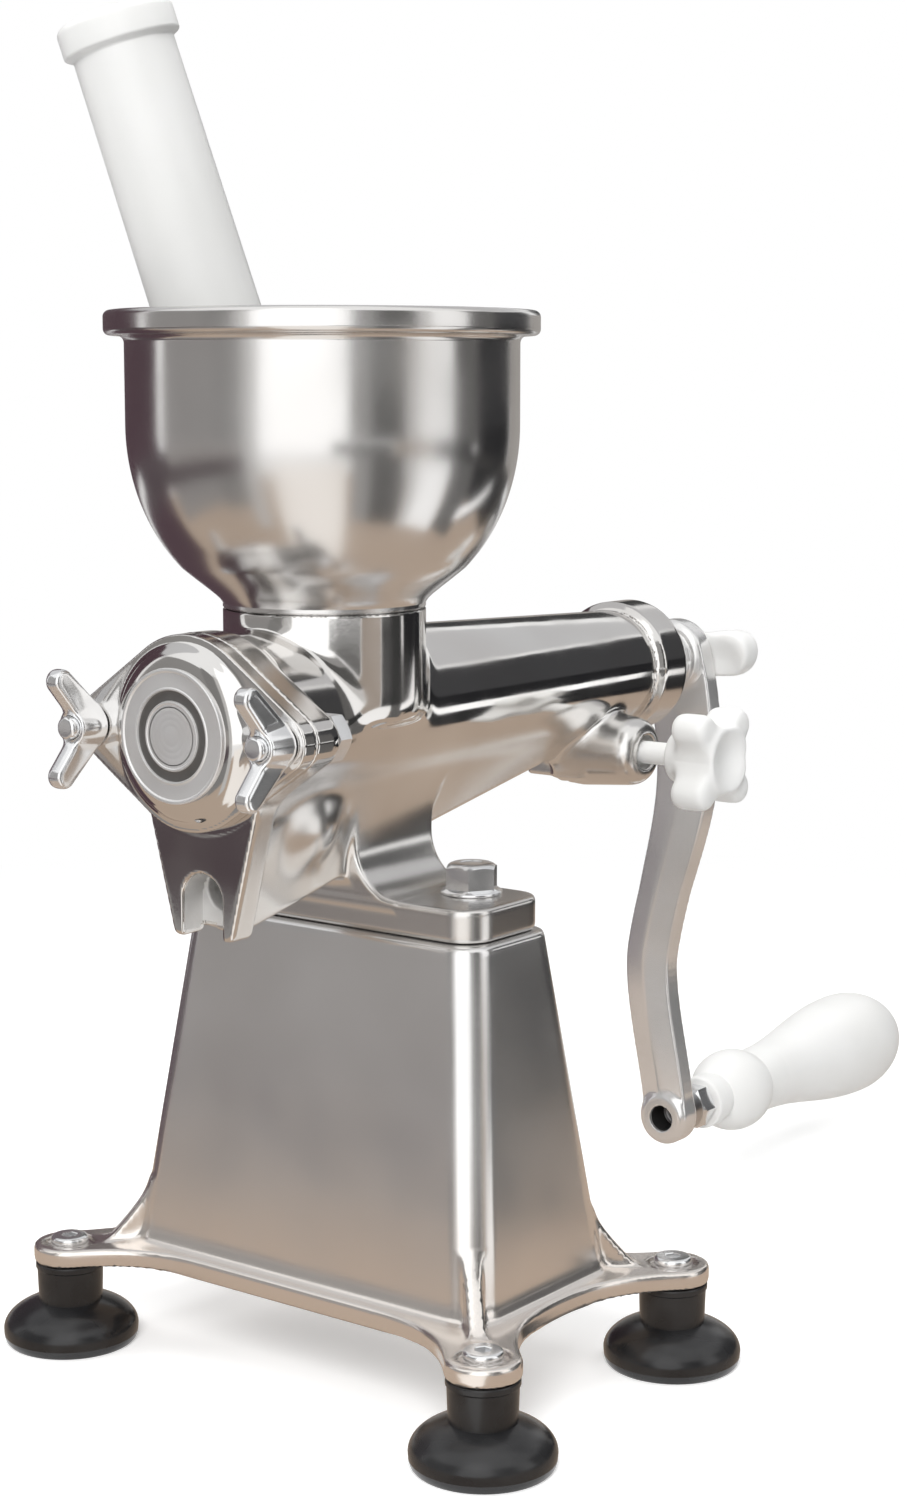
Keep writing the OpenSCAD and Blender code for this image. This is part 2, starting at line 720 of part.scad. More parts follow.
// The spout plate's outline in X and Z, with its lower edge at z
module plate_outline(z) {
    polygon([[-plate_top_w, plate_top_z], [plate_top_w, plate_top_z], [plate_low_w, z], [-plate_low_w, z]]);
}

// The keel under the barrel, a teardrop that rises towards the rear
module keel() {
    hull() for (y = [joint_y + front_flange_t, collar_y - keel_end_gap]) {
        inner_r = barrel_r(y) - keel_inset;
        translate([0, 0, axis_h]) rod_y(y, y + keel_slice, inner_r, inner_r, $fn = hull_fn);
        translate([0, 0, keel_z(y) + keel_r]) rod_y(y, y + keel_slice, keel_r, keel_r, $fn = hull_fn);
    }
}

// The trough that widens from the keel to the spout plate
module trough() {
    plate_rear_y = joint_y + plate_t;
    hull() {
        along_y(plate_rear_y - keel_slice, plate_rear_y) plate_outline(keel_z(plate_rear_y));
        along_y(trough_rear_y, trough_rear_y + keel_slice)
            translate([-keel_r, keel_z(trough_rear_y)]) square([2 * keel_r, trough_rear_h]);
    }
}

// The bell-shaped pedestal, in X and Z
module bell_outline() {
    reach = column_w + column_fillet_r;
    difference() {
        translate([-reach, flange_top_z - over]) square([2 * reach, axis_h - belly_drop - flange_top_z]);
        for (s = [-1, 1]) translate([s * reach, flange_top_z + column_fillet_r]) {
            circle(column_fillet_r);
            translate([-column_fillet_r, 0]) square([2 * column_fillet_r, axis_rise]);
        }
    }
}

// The solid shape of the casting before it is bored
module body_solid() {
    translate([0, 0, axis_h]) {
        rod_y(joint_y, collar_y, barrel_front_r, barrel_rear_r);
        rod_y(collar_y, collar_end_y, collar_r, collar_r);
    }
    along_y(joint_y, joint_y + front_flange_t) oval(oval_r, oval_ear_r);
    along_y(joint_y, joint_y + plate_t) plate_outline(keel_front_z);
    trough();
    keel();
    translate([0, hopper_y - belly_front, axis_h - belly_drop]) sphere(belly_r);
    translate([0, hopper_y, axis_h]) cylinder(h = neck_h, r = neck_r);
    along_y(flange_front_y, flange_rear_y) bell_outline();
    translate([0, 0, stand_h]) linear_extrude(flange_t)
        round_rect([-flange_half_w, flange_front_y], [flange_half_w, flange_rear_y], flange_corner_r);
    translate([-chute_w, choke_y - chute_d, chute_low_z])
        cube([chute_w + choke_boss_r, 2 * chute_d, chute_top_z - chute_low_z]);
    translate([0, choke_y, choke_z]) rotate([0, 90, 0]) cylinder(h = choke_boss_x, r = choke_boss_r);
}

// Everything that is cut from the casting
module body_cuts() {
    chamber_r = sleeve_r(strainer_rear_y);
    seal_r = shaft_r + seal_wall + seat_gap;
    translate([0, 0, axis_h]) {
        rod_y(joint_y - eps, strainer_rear_y, bore_r(joint_y), bore_r(strainer_rear_y));
        rod_y(strainer_rear_y - eps, chamber_end_y, chamber_r, chamber_r);
        rod_y(chamber_end_y - over, collar_end_y + over, shaft_r + over, shaft_r + over);
        rod_y(seal_y, bush_y + eps, seal_r, seal_r);
        rod_y(bush_y, collar_end_y + over, bush_r + seat_gap, bush_r + seat_gap);
    }
    translate([0, hopper_y, axis_h]) cylinder(h = neck_h + over, r = throat_r);
    translate([0, hopper_y, neck_top_z - spigot_l])
        cylinder(h = spigot_l + over, r = throat_r + spigot_wall + seat_gap);
    at_cap_bolts()
        rod_y(joint_y - over, joint_y + front_flange_t + over, cap_bolt_r + bolt_gap, cap_bolt_r + bolt_gap);
    at_flange_bolts() translate([0, 0, stand_h - over])
        cylinder(h = flange_t + 2 * over, r = flange_bolt_r + bolt_gap);
    juice_cuts();
    choke_cuts();
}

// The juice channel from the strainer to the pour arch
module juice_cuts() {
    rise = channel_z(channel_end_y) - channel_z(joint_y);
    run = channel_end_y - joint_y;
    slot_z = channel_z(strainer_front_y);
    slot_y = strainer_front_y + channel_inset;
    arch_z = arch_top_z - arch_r;
    translate([0, joint_y, channel_z(joint_y)]) rotate([atan2(rise, run), 0, 0])
        rod_y(-2 * over, norm([rise, run]), channel_front_r, channel_rear_r);
    translate([-channel_rear_r, slot_y, slot_z])
        cube([2 * channel_rear_r, channel_end_y - channel_inset - slot_y, slot_top_z - slot_z]);
    along_y(joint_y - over, joint_y + plate_t) {
        translate([0, arch_z]) circle(arch_r);
        translate([-arch_r, keel_front_z - over]) square([2 * arch_r, arch_z - keel_front_z + over]);
    }
}

// The pulp outlet and the choke screw's bore
module choke_cuts() {
    translate([0, choke_y, outlet_low_z]) cylinder(h = outlet_top_z - outlet_low_z, r = outlet_r);
    translate([0, choke_y, choke_z]) rotate([0, 90, 0]) {
        cylinder(h = choke_boss_x + over, r = choke_rod_r + run_gap);
        translate([0, 0, choke_boss_x - choke_mouth_l])
            cylinder(h = choke_mouth_l + over, r = choke_rod_r + choke_mouth_w);
    }
}

module body_casting() {
    color(silver) difference() {
        body_solid();
        body_cuts();
    }
}

// The round bottom of the bowl, in radius and height
module bowl_round(r) {
    intersection() {
        translate([0, bowl_centre_z]) circle(r);
        translate([0, neck_top_z]) square([r, bowl_centre_z - neck_top_z + eps]);
    }
}

// The bowl's outer and inner outlines, in radius and height
module bowl_outer() {
    rim_z = rim_top_z - rim_h;
    bowl_round(bowl_r);
    translate([0, bowl_centre_z]) square([bowl_r, bowl_side_h]);
    translate([0, rim_z]) square([rim_r - rim_round, rim_h]);
    translate([0, rim_z + rim_round]) square([rim_r, rim_h - 2 * rim_round]);
    for (z = [rim_z + rim_round, rim_top_z - rim_round]) translate([rim_r - rim_round, z]) circle(rim_round);
    translate([0, neck_top_z]) square([neck_r, bowl_foot_h]);
    translate([0, neck_top_z - spigot_l]) square([throat_r + spigot_wall, spigot_l + eps]);
}

module bowl_inner() {
    bowl_round(bowl_inner_r);
    translate([0, bowl_centre_z]) square([bowl_inner_r, bowl_side_h + over]);
    translate([0, neck_top_z - spigot_l - over]) square([throat_r, bowl_r]);
}

module hopper_bowl() {
    color(silver) translate([0, hopper_y, 0]) rotate_extrude() difference() {
        bowl_outer();
        bowl_inner();
    }
}

module flange_bolts() {
    stud_z = flange_nut_z - bolt_tip_l;
    color(zinc) at_flange_bolts() {
        translate([0, 0, flange_top_z]) cylinder(h = hex_washer_t, r = hex_washer_r);
        translate([0, 0, flange_top_z + hex_washer_t]) hex(hex_w, hex_h);
        translate([0, 0, stud_z]) cylinder(h = flange_top_z + over - stud_z, r = flange_bolt_r);
    }
}

module flange_washers() {
    color(zinc) at_flange_bolts() translate([0, 0, flange_washer_z]) difference() {
        cylinder(h = flange_washer_t, r = flange_washer_r);
        translate([0, 0, -over]) cylinder(h = flange_washer_t + 2 * over, r = flange_bolt_r + seat_gap);
    }
}

module flange_nuts() {
    color(zinc) at_flange_bolts() translate([0, 0, flange_nut_z]) difference() {
        hex(hex_w, flange_nut_t);
        translate([0, 0, -over]) cylinder(h = flange_nut_t + 2 * over, r = flange_bolt_r + seat_gap);
    }
}

// Inside the barrel

module strainer() {
    first_y = strainer_front_y + 2 * channel_inset;
    step_y = (channel_end_y - 2 * channel_inset - first_y) / (strainer_rows - 1);
    front_r = sleeve_r(strainer_front_y);
    rear_r = sleeve_r(strainer_rear_y);
    color(steel) translate([0, 0, axis_h]) difference() {
        rod_y(strainer_front_y, strainer_rear_y, front_r + strainer_t, rear_r + strainer_t);
        rod_y(strainer_front_y - over, strainer_rear_y + over,
            sleeve_r(strainer_front_y - over), sleeve_r(strainer_rear_y + over));
        for (i = [0:strainer_rows - 1], a = [-1, 0, 1])
            translate([0, first_y + i * step_y, 0]) rotate([0, a * strainer_angle, 0])
                translate([0, 0, -front_r - strainer_t - over])
                    cylinder(h = front_r, r = strainer_hole_r, $fn = 16);
    }
}

module rear_bush() {
    color(bronze) ring_y(bush_y, collar_end_y, bush_r, shaft_r + run_gap);
}

module shaft_seal() {
    color(rubber) ring_y(seal_y, bush_y - seal_slack, shaft_r + seal_wall, shaft_r + run_gap);
}

module thrust_washer() {
    color(nylon) ring_y(chamber_end_y - thrust_t, chamber_end_y, shaft_r + thrust_w, shaft_r + run_gap);
}

module drive_shaft() {
    color(steel) translate([0, 0, axis_h]) {
        rod_y(shaft_front_y, shaft_round_end_y, shaft_r, shaft_r);
        translate([-square_w / 2, shaft_round_end_y - over, -square_w / 2])
            cube([square_w, square_end_y - shaft_round_end_y + over, square_w]);
        rod_y(square_end_y - over, knob_thread_end_y, knob_thread_r, knob_thread_r);
    }
}

// The auger's flight, a tapering helix whose root lies inside the core
module flight() {
    steps = 20;
    first_y = auger_front_y + flight_t;
    count = floor((auger_rear_y - flight_t - first_y) / auger_pitch * steps);
    edge_w = flight_t / 2;
    root_w = edge_w + flight_root;
    function at(i, r, dy) = let (a = 360 * i / steps)
        [r * cos(a), first_y + auger_pitch * i / steps + dy, r * sin(a)];
    function ring(i) = let (y = first_y + auger_pitch * i / steps, root_r = core_r(y) - over)
        [at(i, root_r, -root_w), at(i, flight_r(y), -edge_w),
            at(i, flight_r(y), edge_w), at(i, root_r, root_w)];
    sides = [for (i = [0:count - 1], k = [0:3], h = [0, 1])
        let (a = 4 * i + k, b = 4 * i + (k + 1) % 4)
        h == 0 ? [a, b + 4, b] : [a, a + 4, b + 4]];
    last = 4 * count * [1, 1, 1];
    polyhedron([for (i = [0:count]) each ring(i)],
        concat([[0, 2, 3], [0, 1, 2]], sides, [last + [0, 2, 1], last + [0, 3, 2]]));
}

module auger_screw() {
    color(silver) translate([0, 0, axis_h]) difference() {
        union() {
            rod_y(auger_front_y, auger_rear_y, core_front_r, core_rear_r);
            mirror([1, 0, 0]) flight();
        }
        rod_y(auger_front_y - over, auger_rear_y + over, shaft_r + seat_gap, shaft_r + seat_gap);
    }
}

// Front cap and its fastenings

module cap_bolts() {
    color(zinc) at_cap_bolts() {
        rod_y(cap_bolt_end_y, joint_y + front_flange_t + over, cap_bolt_r, cap_bolt_r);
        translate([0, joint_y + front_flange_t, 0]) rotate([-90, 0, 0]) hex(cap_hex_w, cap_hex_h);
    }
}

module front_cap() {
    shoulder_end_r = cap_shoulder_r - cap_shoulder_taper;
    color(silver) difference() {
        union() {
            along_y(cap_ear_y, joint_y) oval(oval_r, oval_ear_r);
            translate([0, 0, axis_h]) {
                rod_y(cap_shoulder_y, cap_ear_y + eps, shoulder_end_r, cap_shoulder_r);
                rod_y(cap_face_y, cap_shoulder_y + eps, cap_face_r, shoulder_end_r);
            }
        }
        ring_y(cap_face_y - over, cap_face_y + cap_groove_t, cap_groove_r, cap_groove_r - cap_groove_w);
        ring_y(joint_y - gasket_t, joint_y + over, gasket_r + seat_gap, gasket_r - gasket_w - seat_gap);
        translate([0, 0, axis_h])
            rod_y(joint_y - cap_bush_l, joint_y + over, bush_r + seat_gap, bush_r + seat_gap);
        at_cap_bolts() rod_y(cap_ear_y - over, joint_y + over, cap_bolt_r + bolt_gap, cap_bolt_r + bolt_gap);
    }
}

module cap_gasket() {
    color(rubber) ring_y(joint_y - gasket_t, joint_y, gasket_r, gasket_r - gasket_w);
}

module cap_bush() {
    color(bronze) ring_y(joint_y - cap_bush_l, joint_y, bush_r, shaft_r + run_gap);
}

// One wing of a wing nut, as a flat outline in depth and height
module wing_outline(k) {
    tip = [-wing_hub_l - wing_rise, k * wing_reach];
    along = tip + [wing_hub_l / 2, 0];
    side = k * wing_tip_r * [along[1], -along[0]] / norm(along);
    translate(tip) circle(wing_tip_r);
    polygon([[-wing_root, 0], [-wing_root, k * wing_hub_r], tip + side, tip - side,
        [-wing_hub_l, k * wing_hub_r / 2], [-wing_hub_l, 0]]);
}

// A wing nut: a hub with two wings that lean forward
module wing_nut(s) {
    color(zinc) translate([s * cap_bolt_x, wing_y, axis_h]) difference() {
        union() {
            rod_y(-wing_hub_l, 0, wing_hub_r - wing_hub_taper, wing_hub_r);
            for (k = [-1, 1]) translate([-wing_t / 2, 0, 0]) rotate([90, 0, 90])
                linear_extrude(wing_t) wing_outline(k);
        }
        rod_y(-wing_hub_l - wing_rise - wing_reach, over, cap_bolt_r + run_gap, cap_bolt_r + run_gap);
    }
}

module wing_nut_left() { wing_nut(-1); }
module wing_nut_right() { wing_nut(1); }

// Crank

// The middle line of the crank arm, in X and Z, from the shaft to the handle
function arm_path() =
    let (bend = [-arm_return, axis_h - crank_r * 0.64],
        upper = curve([[0, axis_h], [arm_swing, axis_h - crank_r * 0.25],
            [-2, axis_h - crank_r * 0.36], bend], 12),
        lower = curve([bend, bend - [2.5, crank_r * 0.1],
            [-1, handle_z + crank_r * 0.1], [0, handle_z]], 10))
    concat(upper, [for (i = [1:len(lower) - 1]) lower[i]]);

module arm_outline() {
    path = arm_path();
    translate([0, axis_h]) circle(arm_hub_r);
    translate([0, handle_z]) circle(arm_end_r);
    polygon(concat(beside(path, arm_w / 2), backwards(beside(path, -arm_w / 2))));
}

module crank_arm() {
    hole_w = square_w + 2 * seat_gap;
    color(silver) difference() {
        union() {
            along_y(arm_y, arm_rear_y) arm_outline();
            translate([0, 0, axis_h]) rod_y(collar_end_y + face_gap, arm_y + over, arm_boss_r, arm_boss_r);
        }
        translate([0, 0, axis_h]) {
            rod_y(collar_end_y, shaft_round_end_y, shaft_r + seat_gap, shaft_r + seat_gap);
            translate([-hole_w / 2, shaft_round_end_y - over, -hole_w / 2])
                cube([hole_w, arm_rear_y - shaft_round_end_y + 2 * over, hole_w]);
        }
        translate([0, 0, handle_z])
            rod_y(arm_y - over, arm_rear_y + over, pin_r + seat_gap, pin_r + seat_gap);
    }
}

// The nylon wing knob that holds the crank on the shaft
module crank_knob() {
    hub_end_r = crank_knob_hub_r - 1;
    color(nylon) translate([0, knob_y, axis_h]) difference() {
        union() {
            rod_y(0, crank_knob_l, crank_knob_hub_r, hub_end_r);
            along_y(crank_knob_edge, crank_knob_l - crank_knob_edge) for (s = [-1, 1]) {
                translate([s * crank_knob_reach, crank_knob_rise]) circle(crank_knob_tip_r);
                polygon([[0, -hub_end_r], [s * crank_knob_reach, crank_knob_rise - crank_knob_tip_r],
                    [s * crank_knob_reach, crank_knob_rise + crank_knob_tip_r], [0, hub_end_r]]);
            }
        }
        rod_y(-over, crank_knob_l - crank_knob_face_t, knob_thread_r + run_gap, knob_thread_r + run_gap);
    }
}

// Handle

module handle_pin() {
    color(steel) translate([0, 0, handle_z]) {
        rod_y(arm_y + pin_inset, grip_y + grip_bore_l - pin_end_gap, pin_r, pin_r);
        rod_y(arm_rear_y, nut_y, pin_collar_r, pin_collar_r);
    }
}

module handle_nut() {
    color(zinc) translate([0, nut_y, handle_z]) rotate([-90, 0, 0]) difference() {
        hex(handle_nut_w, handle_nut_t);
        translate([0, 0, -over]) cylinder(h = handle_nut_t + 2 * over, r = pin_r + seat_gap);
    }
}

// The grip's outline: end disc, bulb, waist and a long pear, as radius and place along the pin
function grip_outline() = concat(
    [[0, grip_y], [grip_disc_r, grip_y], [grip_disc_r, grip_y + grip_disc_l]],
    [for (a = [-50:20:50]) [grip_bulb_r * cos(a), grip_bulb_y + grip_bulb_r * sin(a) * bulb_stretch]],
    [for (t = [0:0.125:1]) [grip_waist_r + (grip_r - grip_waist_r) * (1 - cos(180 * t)) / 2,
        grip_waist_y + (grip_widest_y - grip_waist_y) * t]],
    [for (a = [15:15:90]) [grip_r * cos(a), grip_widest_y + grip_end_l * sin(a)]]);

module handle_grip() {
    color(nylon) translate([0, 0, handle_z]) difference() {
        rotate([90, 0, 0]) mirror([0, 0, 1]) rotate_extrude() polygon(grip_outline());
        rod_y(grip_y - over, grip_y + grip_bore_l, pin_r + run_gap, pin_r + run_gap);
    }
}

// Choke screw

module choke_rod() {
    rod_end_x = choke_knob_x + choke_socket_l - choke_end_gap;
    color(nylon) translate([choke_tip_x, choke_y, choke_z]) rotate([0, 90, 0])
        cylinder(h = rod_end_x - choke_tip_x, r = choke_rod_r);
}

// The four-lobed nylon knob of the choke screw
module choke_knob() {
    color(nylon) translate([choke_knob_x, choke_y, choke_z]) rotate([0, 90, 0]) difference() {
        union() {
            cylinder(h = choke_neck_l + over, r1 = choke_neck_r, r2 = choke_hub_r);
            cylinder(h = choke_knob_l, r = choke_hub_r - choke_edge);
            translate([0, 0, choke_neck_l]) cylinder(h = choke_knob_l - choke_neck_l, r = choke_hub_r);
            translate([0, 0, choke_neck_l]) linear_extrude(choke_knob_l - choke_neck_l - choke_edge)
                for (a = [45:90:315]) rotate(a) {
                    translate([choke_lobe_reach, 0]) circle(choke_lobe_r);
                    translate([0, -choke_lobe_r]) square([choke_lobe_reach, 2 * choke_lobe_r]);
                }
        }
        translate([0, 0, -over]) cylinder(h = choke_socket_l + over, r = choke_rod_r + run_gap);
        translate([0, 0, choke_knob_l - choke_dish_t + choke_dish_r]) sphere(choke_dish_r);
    }
}

// Plunger

module plunger() {
    lip_z = plunger_l - plunger_lip_h;
    color(nylon) translate([0, hopper_y, plunger_foot_z]) rotate([0, 0, plunger_turn])
        translate([plunger_foot, 0, 0]) rotate([0, plunger_lean, 0]) rotate_extrude() {
            polygon([[0, 0], [plunger_r, 0], [plunger_top_r, lip_z + eps], [0, lip_z + eps]]);
            translate([0, lip_z]) square([plunger_lip_r, plunger_lip_h - plunger_round]);
            translate([0, lip_z]) square([plunger_lip_r - plunger_round, plunger_lip_h]);
            translate([plunger_lip_r - plunger_round, plunger_l - plunger_round]) circle(plunger_round);
        }
}

base_stand();
suction_foot_front_left();
suction_foot_front_right();
suction_foot_rear_left();
suction_foot_rear_right();
foot_screws();
foot_inserts();
body_casting();
hopper_bowl();
flange_bolts();
flange_washers();
flange_nuts();
strainer();
rear_bush();
shaft_seal();
thrust_washer();
cap_bolts();
front_cap();
cap_gasket();
cap_bush();
wing_nut_left();
wing_nut_right();
drive_shaft();
auger_screw();
crank_arm();
crank_knob();
handle_pin();
handle_nut();
handle_grip();
choke_rod();
choke_knob();
plunger();
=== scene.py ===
import json
import math

import bpy
import numpy as np
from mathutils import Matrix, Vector


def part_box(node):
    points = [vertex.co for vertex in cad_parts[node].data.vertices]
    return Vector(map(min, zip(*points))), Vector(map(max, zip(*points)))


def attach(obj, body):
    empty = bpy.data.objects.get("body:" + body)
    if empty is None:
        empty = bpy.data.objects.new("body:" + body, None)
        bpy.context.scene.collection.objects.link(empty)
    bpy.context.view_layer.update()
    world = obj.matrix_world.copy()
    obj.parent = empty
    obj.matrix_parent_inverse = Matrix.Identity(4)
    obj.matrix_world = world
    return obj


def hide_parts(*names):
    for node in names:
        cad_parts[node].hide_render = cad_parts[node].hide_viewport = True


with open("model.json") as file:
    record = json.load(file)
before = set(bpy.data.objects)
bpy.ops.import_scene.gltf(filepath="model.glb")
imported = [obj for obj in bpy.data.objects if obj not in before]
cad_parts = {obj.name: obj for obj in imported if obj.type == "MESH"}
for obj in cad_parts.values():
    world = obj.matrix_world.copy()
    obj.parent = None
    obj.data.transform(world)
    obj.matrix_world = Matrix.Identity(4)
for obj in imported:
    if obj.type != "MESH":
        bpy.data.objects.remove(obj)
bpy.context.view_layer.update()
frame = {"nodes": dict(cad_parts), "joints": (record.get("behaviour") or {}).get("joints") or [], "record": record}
scene = bpy.context.scene
scene.view_settings.view_transform = "Standard"
record = frame["record"]
bodyOf = {node: body for body, nodes in record["behaviour"]["bodies"].items() for node in nodes}
slotOf = {row["node"]: row["material_slot"] for row in record["subparts"]}
mm = 0.001
print("frame:", len(frame["nodes"]), "nodes")


# Places taken from the frame, in millimetres
def nodeSpan(node):
    low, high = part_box(node)
    return np.array(low) / mm, np.array(high) / mm


def nodeMiddle(node):
    low, high = nodeSpan(node)
    return (low + high) / 2


def meshPoints(piece):
    return np.array([v.co for v in piece.data.vertices]) / mm


# Start and length of a turned node along its axis
def turnedFrame(node, axis):
    points = meshPoints(frame["nodes"][node])
    axis, side, other = axisFrame(axis)
    start = sum(d * ((points @ d).min() + (points @ d).max()) / 2 for d in (side, other))
    along = points @ axis
    return start + axis * along.min(), along.max() - along.min()


def axisFrame(axis):
    axis = np.array(axis, float) / np.linalg.norm(axis)
    side = np.cross(axis, (0, 0, 1) if abs(axis[2]) < 0.9 else (0, 1, 0))
    side /= np.linalg.norm(side)
    return axis, side, np.cross(axis, side)


axisZ = nodeMiddle("front_cap")[2]
hopperY = nodeMiddle("hopper_bowl")[1]
bodyLow, bodyHigh = nodeSpan("body_casting")
jointY = bodyLow[1]


# Turned pieces: a list of rings (radius, place, sides, chamfer slope)
def latheArrays(rings, start, axis, steps=96):
    axis, side, other = axisFrame(axis)
    angles = np.arange(steps) * 2 * math.pi / steps
    points, faces, rows = [], [], []
    for radius, place, *shape in rings:
        if radius < 1e-6:
            rows.append([len(points)])
            points.append(start + axis * place)
            continue
        radii = np.full(steps, float(radius))
        places = np.full(steps, float(place))
        if shape:
            part = 2 * math.pi / shape[0]
            radii = radius / np.cos(angles % part - part / 2)
        if len(shape) > 1:
            places = place - (radii - radius) * shape[1]
        rows.append(list(range(len(points), len(points) + steps)))
        ring = np.outer(np.cos(angles) * radii, side) + np.outer(np.sin(angles) * radii, other)
        points.extend(start + ring + np.outer(places, axis))
    for a, b in zip(rows, rows[1:]):
        for k in range(steps):
            n = (k + 1) % steps
            corners = [a[k % len(a)], a[n % len(a)], b[n % len(b)], b[k % len(b)]]
            faces.append(list(dict.fromkeys(corners)))
    return np.array(points), faces


# Rounds the corners (radius, place, rounding) of a turned outline
def roundedOutline(corners, pieces=6):
    rings = []
    for i, corner in enumerate(corners):
        here = np.array(corner[:2], float)
        if len(corner) < 3 or i in (0, len(corners) - 1):
            rings.append(tuple(here))
            continue
        before = np.array(corners[i - 1][:2]) - here
        after = np.array(corners[i + 1][:2]) - here
        shortest = min(np.linalg.norm(before), np.linalg.norm(after))
        before /= np.linalg.norm(before)
        after /= np.linalg.norm(after)
        half = math.acos(np.clip(before @ after, -0.9999, 0.9999)) / 2
        reach = min(corner[2] / math.tan(half), shortest * 0.49)
        radius = reach * math.tan(half)
        middle = (before + after) / np.linalg.norm(before + after)
        centre = here + middle * radius / math.sin(half)
        for s in np.linspace(0, 1, pieces + 1):
            spoke = (here + before * reach - centre) * (1 - s) + (here + after * reach - centre) * s
            rings.append(tuple(centre + spoke * radius / np.linalg.norm(spoke)))
    return rings


def makeObject(name, points, faces):
    mesh = bpy.data.meshes.new(name)
    mesh.from_pydata((np.asarray(points) * mm).tolist(), [], faces)
    mesh.shade_smooth()
    made = bpy.data.objects.new(name, mesh)
    scene.collection.objects.link(made)
    return made


# Joins turned parts into one object, with crisp edges where they turn sharply
def latheObject(name, parts, sharpAngle=28):
    points, faces = [], []
    for partPoints, partFaces in parts:
        faces += [[i + len(points) for i in face] for face in partFaces]
        points += list(partPoints)
    made = makeObject(name, points, faces)
    made.data.set_sharp_from_angle(angle=math.radians(sharpAngle))
    return made


# Fields: signed distances in millimetres that blend into each other, scaled down where a face leans
def smoothMin(a, b, blend):
    h = np.maximum(blend - np.abs(a - b), 0) / blend
    return np.minimum(a, b) - h * h * h * blend / 6


def unite(blend, *fields):
    made = fields[0]
    for field in fields[1:]:
        made = smoothMin(made, field, blend)
    return made


def overlap(edge, *fields):
    made = fields[0]
    for field in fields[1:]:
        made = -smoothMin(-made, -field, edge)
    return made


def carve(a, edge, *cuts):
    for cut in cuts:
        a = -smoothMin(-a, cut, edge)
    return a


# A convex turned outline (radius, place), closed square to its axis at both ends
def turnedField(radius, place, points, edge):
    points = [(0, points[0][1]), *points, (0, points[-1][1])]
    sides = []
    for (ar, ap), (br, bp) in zip(points, points[1:]):
        length = math.hypot(br - ar, bp - ap)
        sides.append(((radius - ar) * (bp - ap) - (place - ap) * (br - ar)) / length)
    return overlap(edge, *sides)


# Two circles and their common tangents, along u from 0 to reach
def taperedSlot(u, v, firstR, endR, reach):
    lean = np.clip((firstR - endR) / reach, -0.96, 0.96)
    rise = np.sqrt(1 - lean * lean)
    across = np.abs(v)
    k = u * rise - across * lean
    body = across * rise + u * lean - firstR
    ends = np.where(k < 0, np.hypot(u, v) - firstR, np.hypot(u - reach, v) - endR)
    return np.where((k < 0) | (k > rise * reach), ends, body)


def roundRect(x, y, halfX, halfY, corner):
    qx = np.abs(x) - halfX + corner
    qy = np.abs(y) - halfY + corner
    return np.hypot(np.maximum(qx, 0), np.maximum(qy, 0)) + np.minimum(np.maximum(qx, qy), 0) - corner


def slab(v, low, high):
    return np.abs(v - (low + high) / 2) - (high - low) / 2


def capsule(p, start, end, startR, endR):
    start, end = np.array(start, float), np.array(end, float)
    along = end - start
    t = np.clip(((p - start) @ along) / (along @ along), 0, 1)
    return np.linalg.norm(p - start - t[:, None] * along, axis=1) - (startR + (endR - startR) * t)


# Numbers for meshing a field
meshing = {"block": 6, "nearby": 1.25, "batch": 300, "margin": 2, "rounds": 2, "pulls": 2, "relax": 0.6,
           "probe": 0.1, "normalProbe": 0.2, "leastSlope": 0.2}


# Samples a field near its surface only, block by block
def sampleField(field, low, high, step):
    block, batch = meshing["block"], meshing["batch"]
    blocks = np.ceil((high - low) / (step * block)).astype(int)
    places = np.indices(blocks).reshape(3, -1).T
    middle = field(low + (places + 0.5) * block * step)
    filled = np.where(middle < 0, -1.0, 1.0).reshape(blocks)
    values = np.ones(blocks * block + 1)
    values[:-1, :-1, :-1] = filled.repeat(block, 0).repeat(block, 1).repeat(block, 2)
    nearby = places[np.abs(middle) < block * step * meshing["nearby"]]
    corners = np.indices((block + 1,) * 3).reshape(3, -1).T
    for first in range(0, len(nearby), batch):
        index = (nearby[first:first + batch, None, :] * block + corners).reshape(-1, 3)
        values[tuple(index.T)] = field(low + index * step)
    return values


def fieldSlope(field, points, width):
    slope = np.empty_like(points)
    for k in range(3):
        shift = np.eye(3)[k] * width
        slope[:, k] = (field(points + shift) - field(points - shift)) / (2 * width)
    return slope


